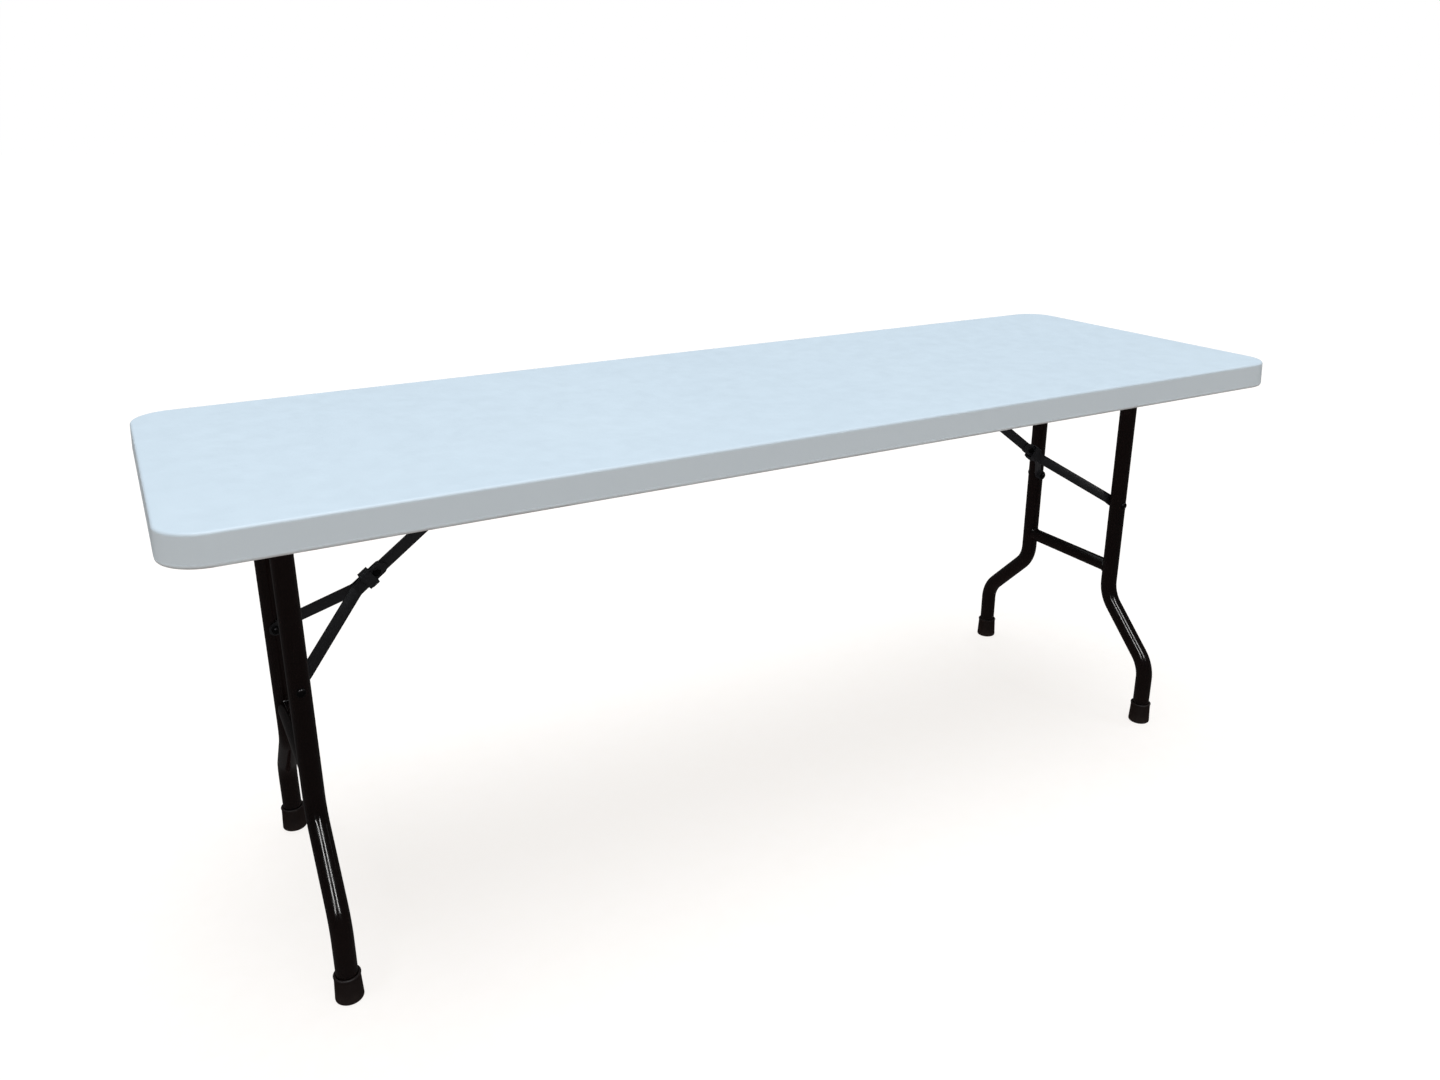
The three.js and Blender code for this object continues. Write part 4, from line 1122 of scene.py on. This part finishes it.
def make_bolt():
    section = [(TINY, -BOLT_LENGTH), (PIN_RADIUS, -BOLT_LENGTH), (PIN_RADIUS, 0)]
    section += dome(BOLT_HEAD, BOLT_HEAD_HEIGHT, BOLT_HEAD_EDGE)
    return turned("round_bolt", section, (0, 0, 0), sides=28)


def make_nut():
    """A hexagon nut with a closed dome, which has the stub of its bolt below it."""
    hexagon = arc(NUT_RADIUS, 0, 360, 6)[:-1]
    nut = soften(loft("cap_nut", [[(x, y, z) for x, y in hexagon] for z in (0, NUT_FLATS)]), NUT_EDGE)
    crown = [(TINY, STUB_BITE), (CROWN_RADIUS, STUB_BITE), (CROWN_RADIUS, NUT_FLATS)]
    angles = [math.pi / 2 * i / HEAD_STEPS for i in range(1, HEAD_STEPS)]
    rise = NUT_HEIGHT - NUT_FLATS
    crown += [(CROWN_RADIUS * math.cos(a), NUT_FLATS + rise * math.sin(a)) for a in angles]
    combine(nut, turned("crown", crown + [(TINY, NUT_HEIGHT)], (0, 0, 0), sides=24), "UNION")
    stub = [(TINY, -STUB_LENGTH), (PIN_RADIUS, -STUB_LENGTH), (PIN_RADIUS, STUB_BITE), (TINY, STUB_BITE)]
    return combine(nut, turned("stub", stub, (0, 0, 0), sides=24), "UNION")


screw_shape, bolt_shape, nut_shape = make_screw(), make_bolt(), make_nut()
print("one screw has", len(screw_shape.data.polygons), "faces, one nut", len(nut_shape.data.polygons))

# %% Set the screws, pins, bolts and nuts
screw_nodes = sorted(n for n in frame["nodes"] if n.startswith("screw_"))
screw_places = []
for node in screw_nodes:
    low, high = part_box(node)
    seat = ((low.x + high.x) / 2, (low.y + high.y) / 2, low.z + SCREW_HEAD_HEIGHT)
    screw_places.append((seat, (0, 0, -1)))
set_fasteners("pan_screws", screw_shape, screw_places, STEEL, "top", screw_nodes)

clevis_grip = CLEVIS_EAR_Y + CLEVIS_PLATE + TOUCH_GAP
pin_shape = make_pin(clevis_grip)
pin_places = [(joint_place[f"{end}_link_swing"], (0, 1, 0)) for end in ENDS]
set_fasteners("clevis_pins", pin_shape, pin_places, STEEL, "top",
              [f"link_pin_{end}" for end in ENDS])

rivet_shape = make_pin(LINK_THICKNESS / 2 + TOUCH_GAP + ARM_THICKNESS + TOUCH_GAP)
for end in ENDS:
    x, z = measures[end]["x"], measures[end]["bolt_z"]
    rivet_place = [(joint_place[f"{end}_arms_fold"], (0, 1, 0))]
    set_fasteners(f"brace_rivet_{end}", rivet_shape, rivet_place, BLACK_PLATE, f"{end}_arms",
                  [f"joint_rivet_{end}"])
    bolts, nuts = [], []
    for edge, side in EDGES.items():
        bolt_low, bolt_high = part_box(f"leg_bolt_{end}_{edge}")
        seat = (bolt_high.y if side > 0 else -bolt_low.y) - BOLT_HEAD_HEIGHT
        bolts.append(((x, side * seat, z), (0, side, 0)))
        nut_low, nut_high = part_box(f"leg_nut_{end}_{edge}")
        nut_seat = (nut_low.y if side > 0 else -nut_high.y) + NUT_HEIGHT
        nuts.append(((x, side * nut_seat, z), (0, -side, 0)))
    set_fasteners(f"leg_bolts_{end}", bolt_shape, bolts, BLACK_PLATE, f"{end}_leg_frame",
                  [f"leg_bolt_{end}_{edge}" for edge in EDGES])
    set_fasteners(f"cap_nuts_{end}", nut_shape, nuts, BLACK_PLATE, f"{end}_arms",
                  [f"leg_nut_{end}_{edge}" for edge in EDGES])
for shape in (screw_shape, bolt_shape, nut_shape, pin_shape, rivet_shape):
    bpy.data.objects.remove(shape)

# %% [markdown]
# ## Floor and light
# A product like this is shown on a white floor under broad, soft lamps. One very wide light straight above,
# slightly cool, lights the top evenly. Two long strips high above the near side draw the pair of bright
# lines down the sloping tubes, and are kept out of the diffuse light. A white floor would show in every
# black tube as a grey veil, so the floor and the white backdrop are hidden from reflections. Most of the
# floor's brightness is its own glow, which keeps the shadow under the table pale. Its back face is clear,
# so that the underside can be looked at from below the floor.

# %% Build the studio
FLOOR_SIZE = 80.0
BACKDROP_RADIUS = 45.0
WORLD_STRENGTH = 0.05
OVERHEAD_STRENGTH = 3.65
OVERHEAD_SPREAD = math.radians(46)
OVERHEAD_COLOUR = (0.88, 0.985, 1.08)
FLOOR_GLOW = 0.85
BACKDROP_GLOW = 1.0
STRIP_GLOW = 20.0
STRIP_TARGET = (0, -0.2, 0.3)
STRIPS = {"left_strip": ((-2.4, -2.98, 4.08), (0.42, 3.8)), "right_strip": ((0.9, -4.82, 6.6), (0.75, 6.0))}
WHITE = (1, 1, 1, 1)
GLOW_COLOUR = (1, 0.975, 0.95, 1)
FLOOR_COLOURS = ((0.205, 0.185, 0.172), (0.225, 0.205, 0.192))
MOTTLE_SCALE = 30


def make_floor():
    floor = mesh_object("floor", square(FLOOR_SIZE / 2), [(0, 1, 2, 3)])
    material, tree, shader = start_finish("pale_floor", Roughness=0.9, Specular_IOR_Level=0.1,
                                          Emission_Strength=FLOOR_GLOW)
    shader.inputs["Emission Color"].default_value = GLOW_COLOUR
    mottle = spread(tree, noise(tree, place_on_object(tree), MOTTLE_SCALE, 3), 0, 1)
    tree.links.new(blend_colours(tree, mottle, *FLOOR_COLOURS), shader.inputs["Base Color"])
    below = tree.nodes.new("ShaderNodeNewGeometry").outputs["Backfacing"]
    clear = tree.nodes.new("ShaderNodeBsdfTransparent").outputs[0]
    either = add_node(tree, "ShaderNodeMixShader", {0: below, 1: shader.outputs[0], 2: clear})
    tree.links.new(either.outputs[0], tree.nodes["Material Output"].inputs["Surface"])
    floor.data.materials.append(material)
    floor.visible_glossy = False


def make_backdrop():
    """A white ball all round, seen by the camera only, so that it lights nothing."""
    shell = bmesh.new()
    bmesh.ops.create_uvsphere(shell, u_segments=48, v_segments=24, radius=BACKDROP_RADIUS)
    ball = mesh_object("backdrop", [], [])
    shell.to_mesh(ball.data)
    shell.free()
    material, tree, shader = start_finish("white_backdrop", Emission_Strength=BACKDROP_GLOW, Roughness=1.0)
    shader.inputs["Base Color"].default_value = (0, 0, 0, 1)
    shader.inputs["Emission Color"].default_value = WHITE
    ball.data.materials.append(material)
    ball.visible_glossy = ball.visible_diffuse = ball.visible_shadow = ball.visible_transmission = False


def strip_lamp(name, place, size):
    """A long lamp that shows only as a reflection."""
    lamp = bpy.data.lights.new(name, "AREA")
    lamp.shape, lamp.size, lamp.size_y = "RECTANGLE", size[0], size[1]
    lamp.energy = STRIP_GLOW * math.pi * size[0] * size[1]
    strip = bpy.data.objects.new(name, lamp)
    strip.location = place
    strip.rotation_euler = (Vector(STRIP_TARGET) - Vector(place)).to_track_quat("-Z", "Y").to_euler()
    strip.visible_diffuse = False
    scene.collection.objects.link(strip)


def make_overhead():
    lamp = bpy.data.lights.new("overhead", "SUN")
    lamp.energy, lamp.angle, lamp.color = OVERHEAD_STRENGTH, OVERHEAD_SPREAD, OVERHEAD_COLOUR
    scene.collection.objects.link(bpy.data.objects.new("overhead", lamp))


make_floor()
make_backdrop()
world = bpy.data.worlds.new("studio")
world.use_nodes = True
world.node_tree.nodes["Background"].inputs["Color"].default_value = WHITE
world.node_tree.nodes["Background"].inputs["Strength"].default_value = WORLD_STRENGTH
scene.world = world
make_overhead()
for strip_name, (strip_place, strip_size) in STRIPS.items():
    strip_lamp(strip_name, strip_place, strip_size)
scene.view_settings.view_transform = "Standard"
print("studio ready")
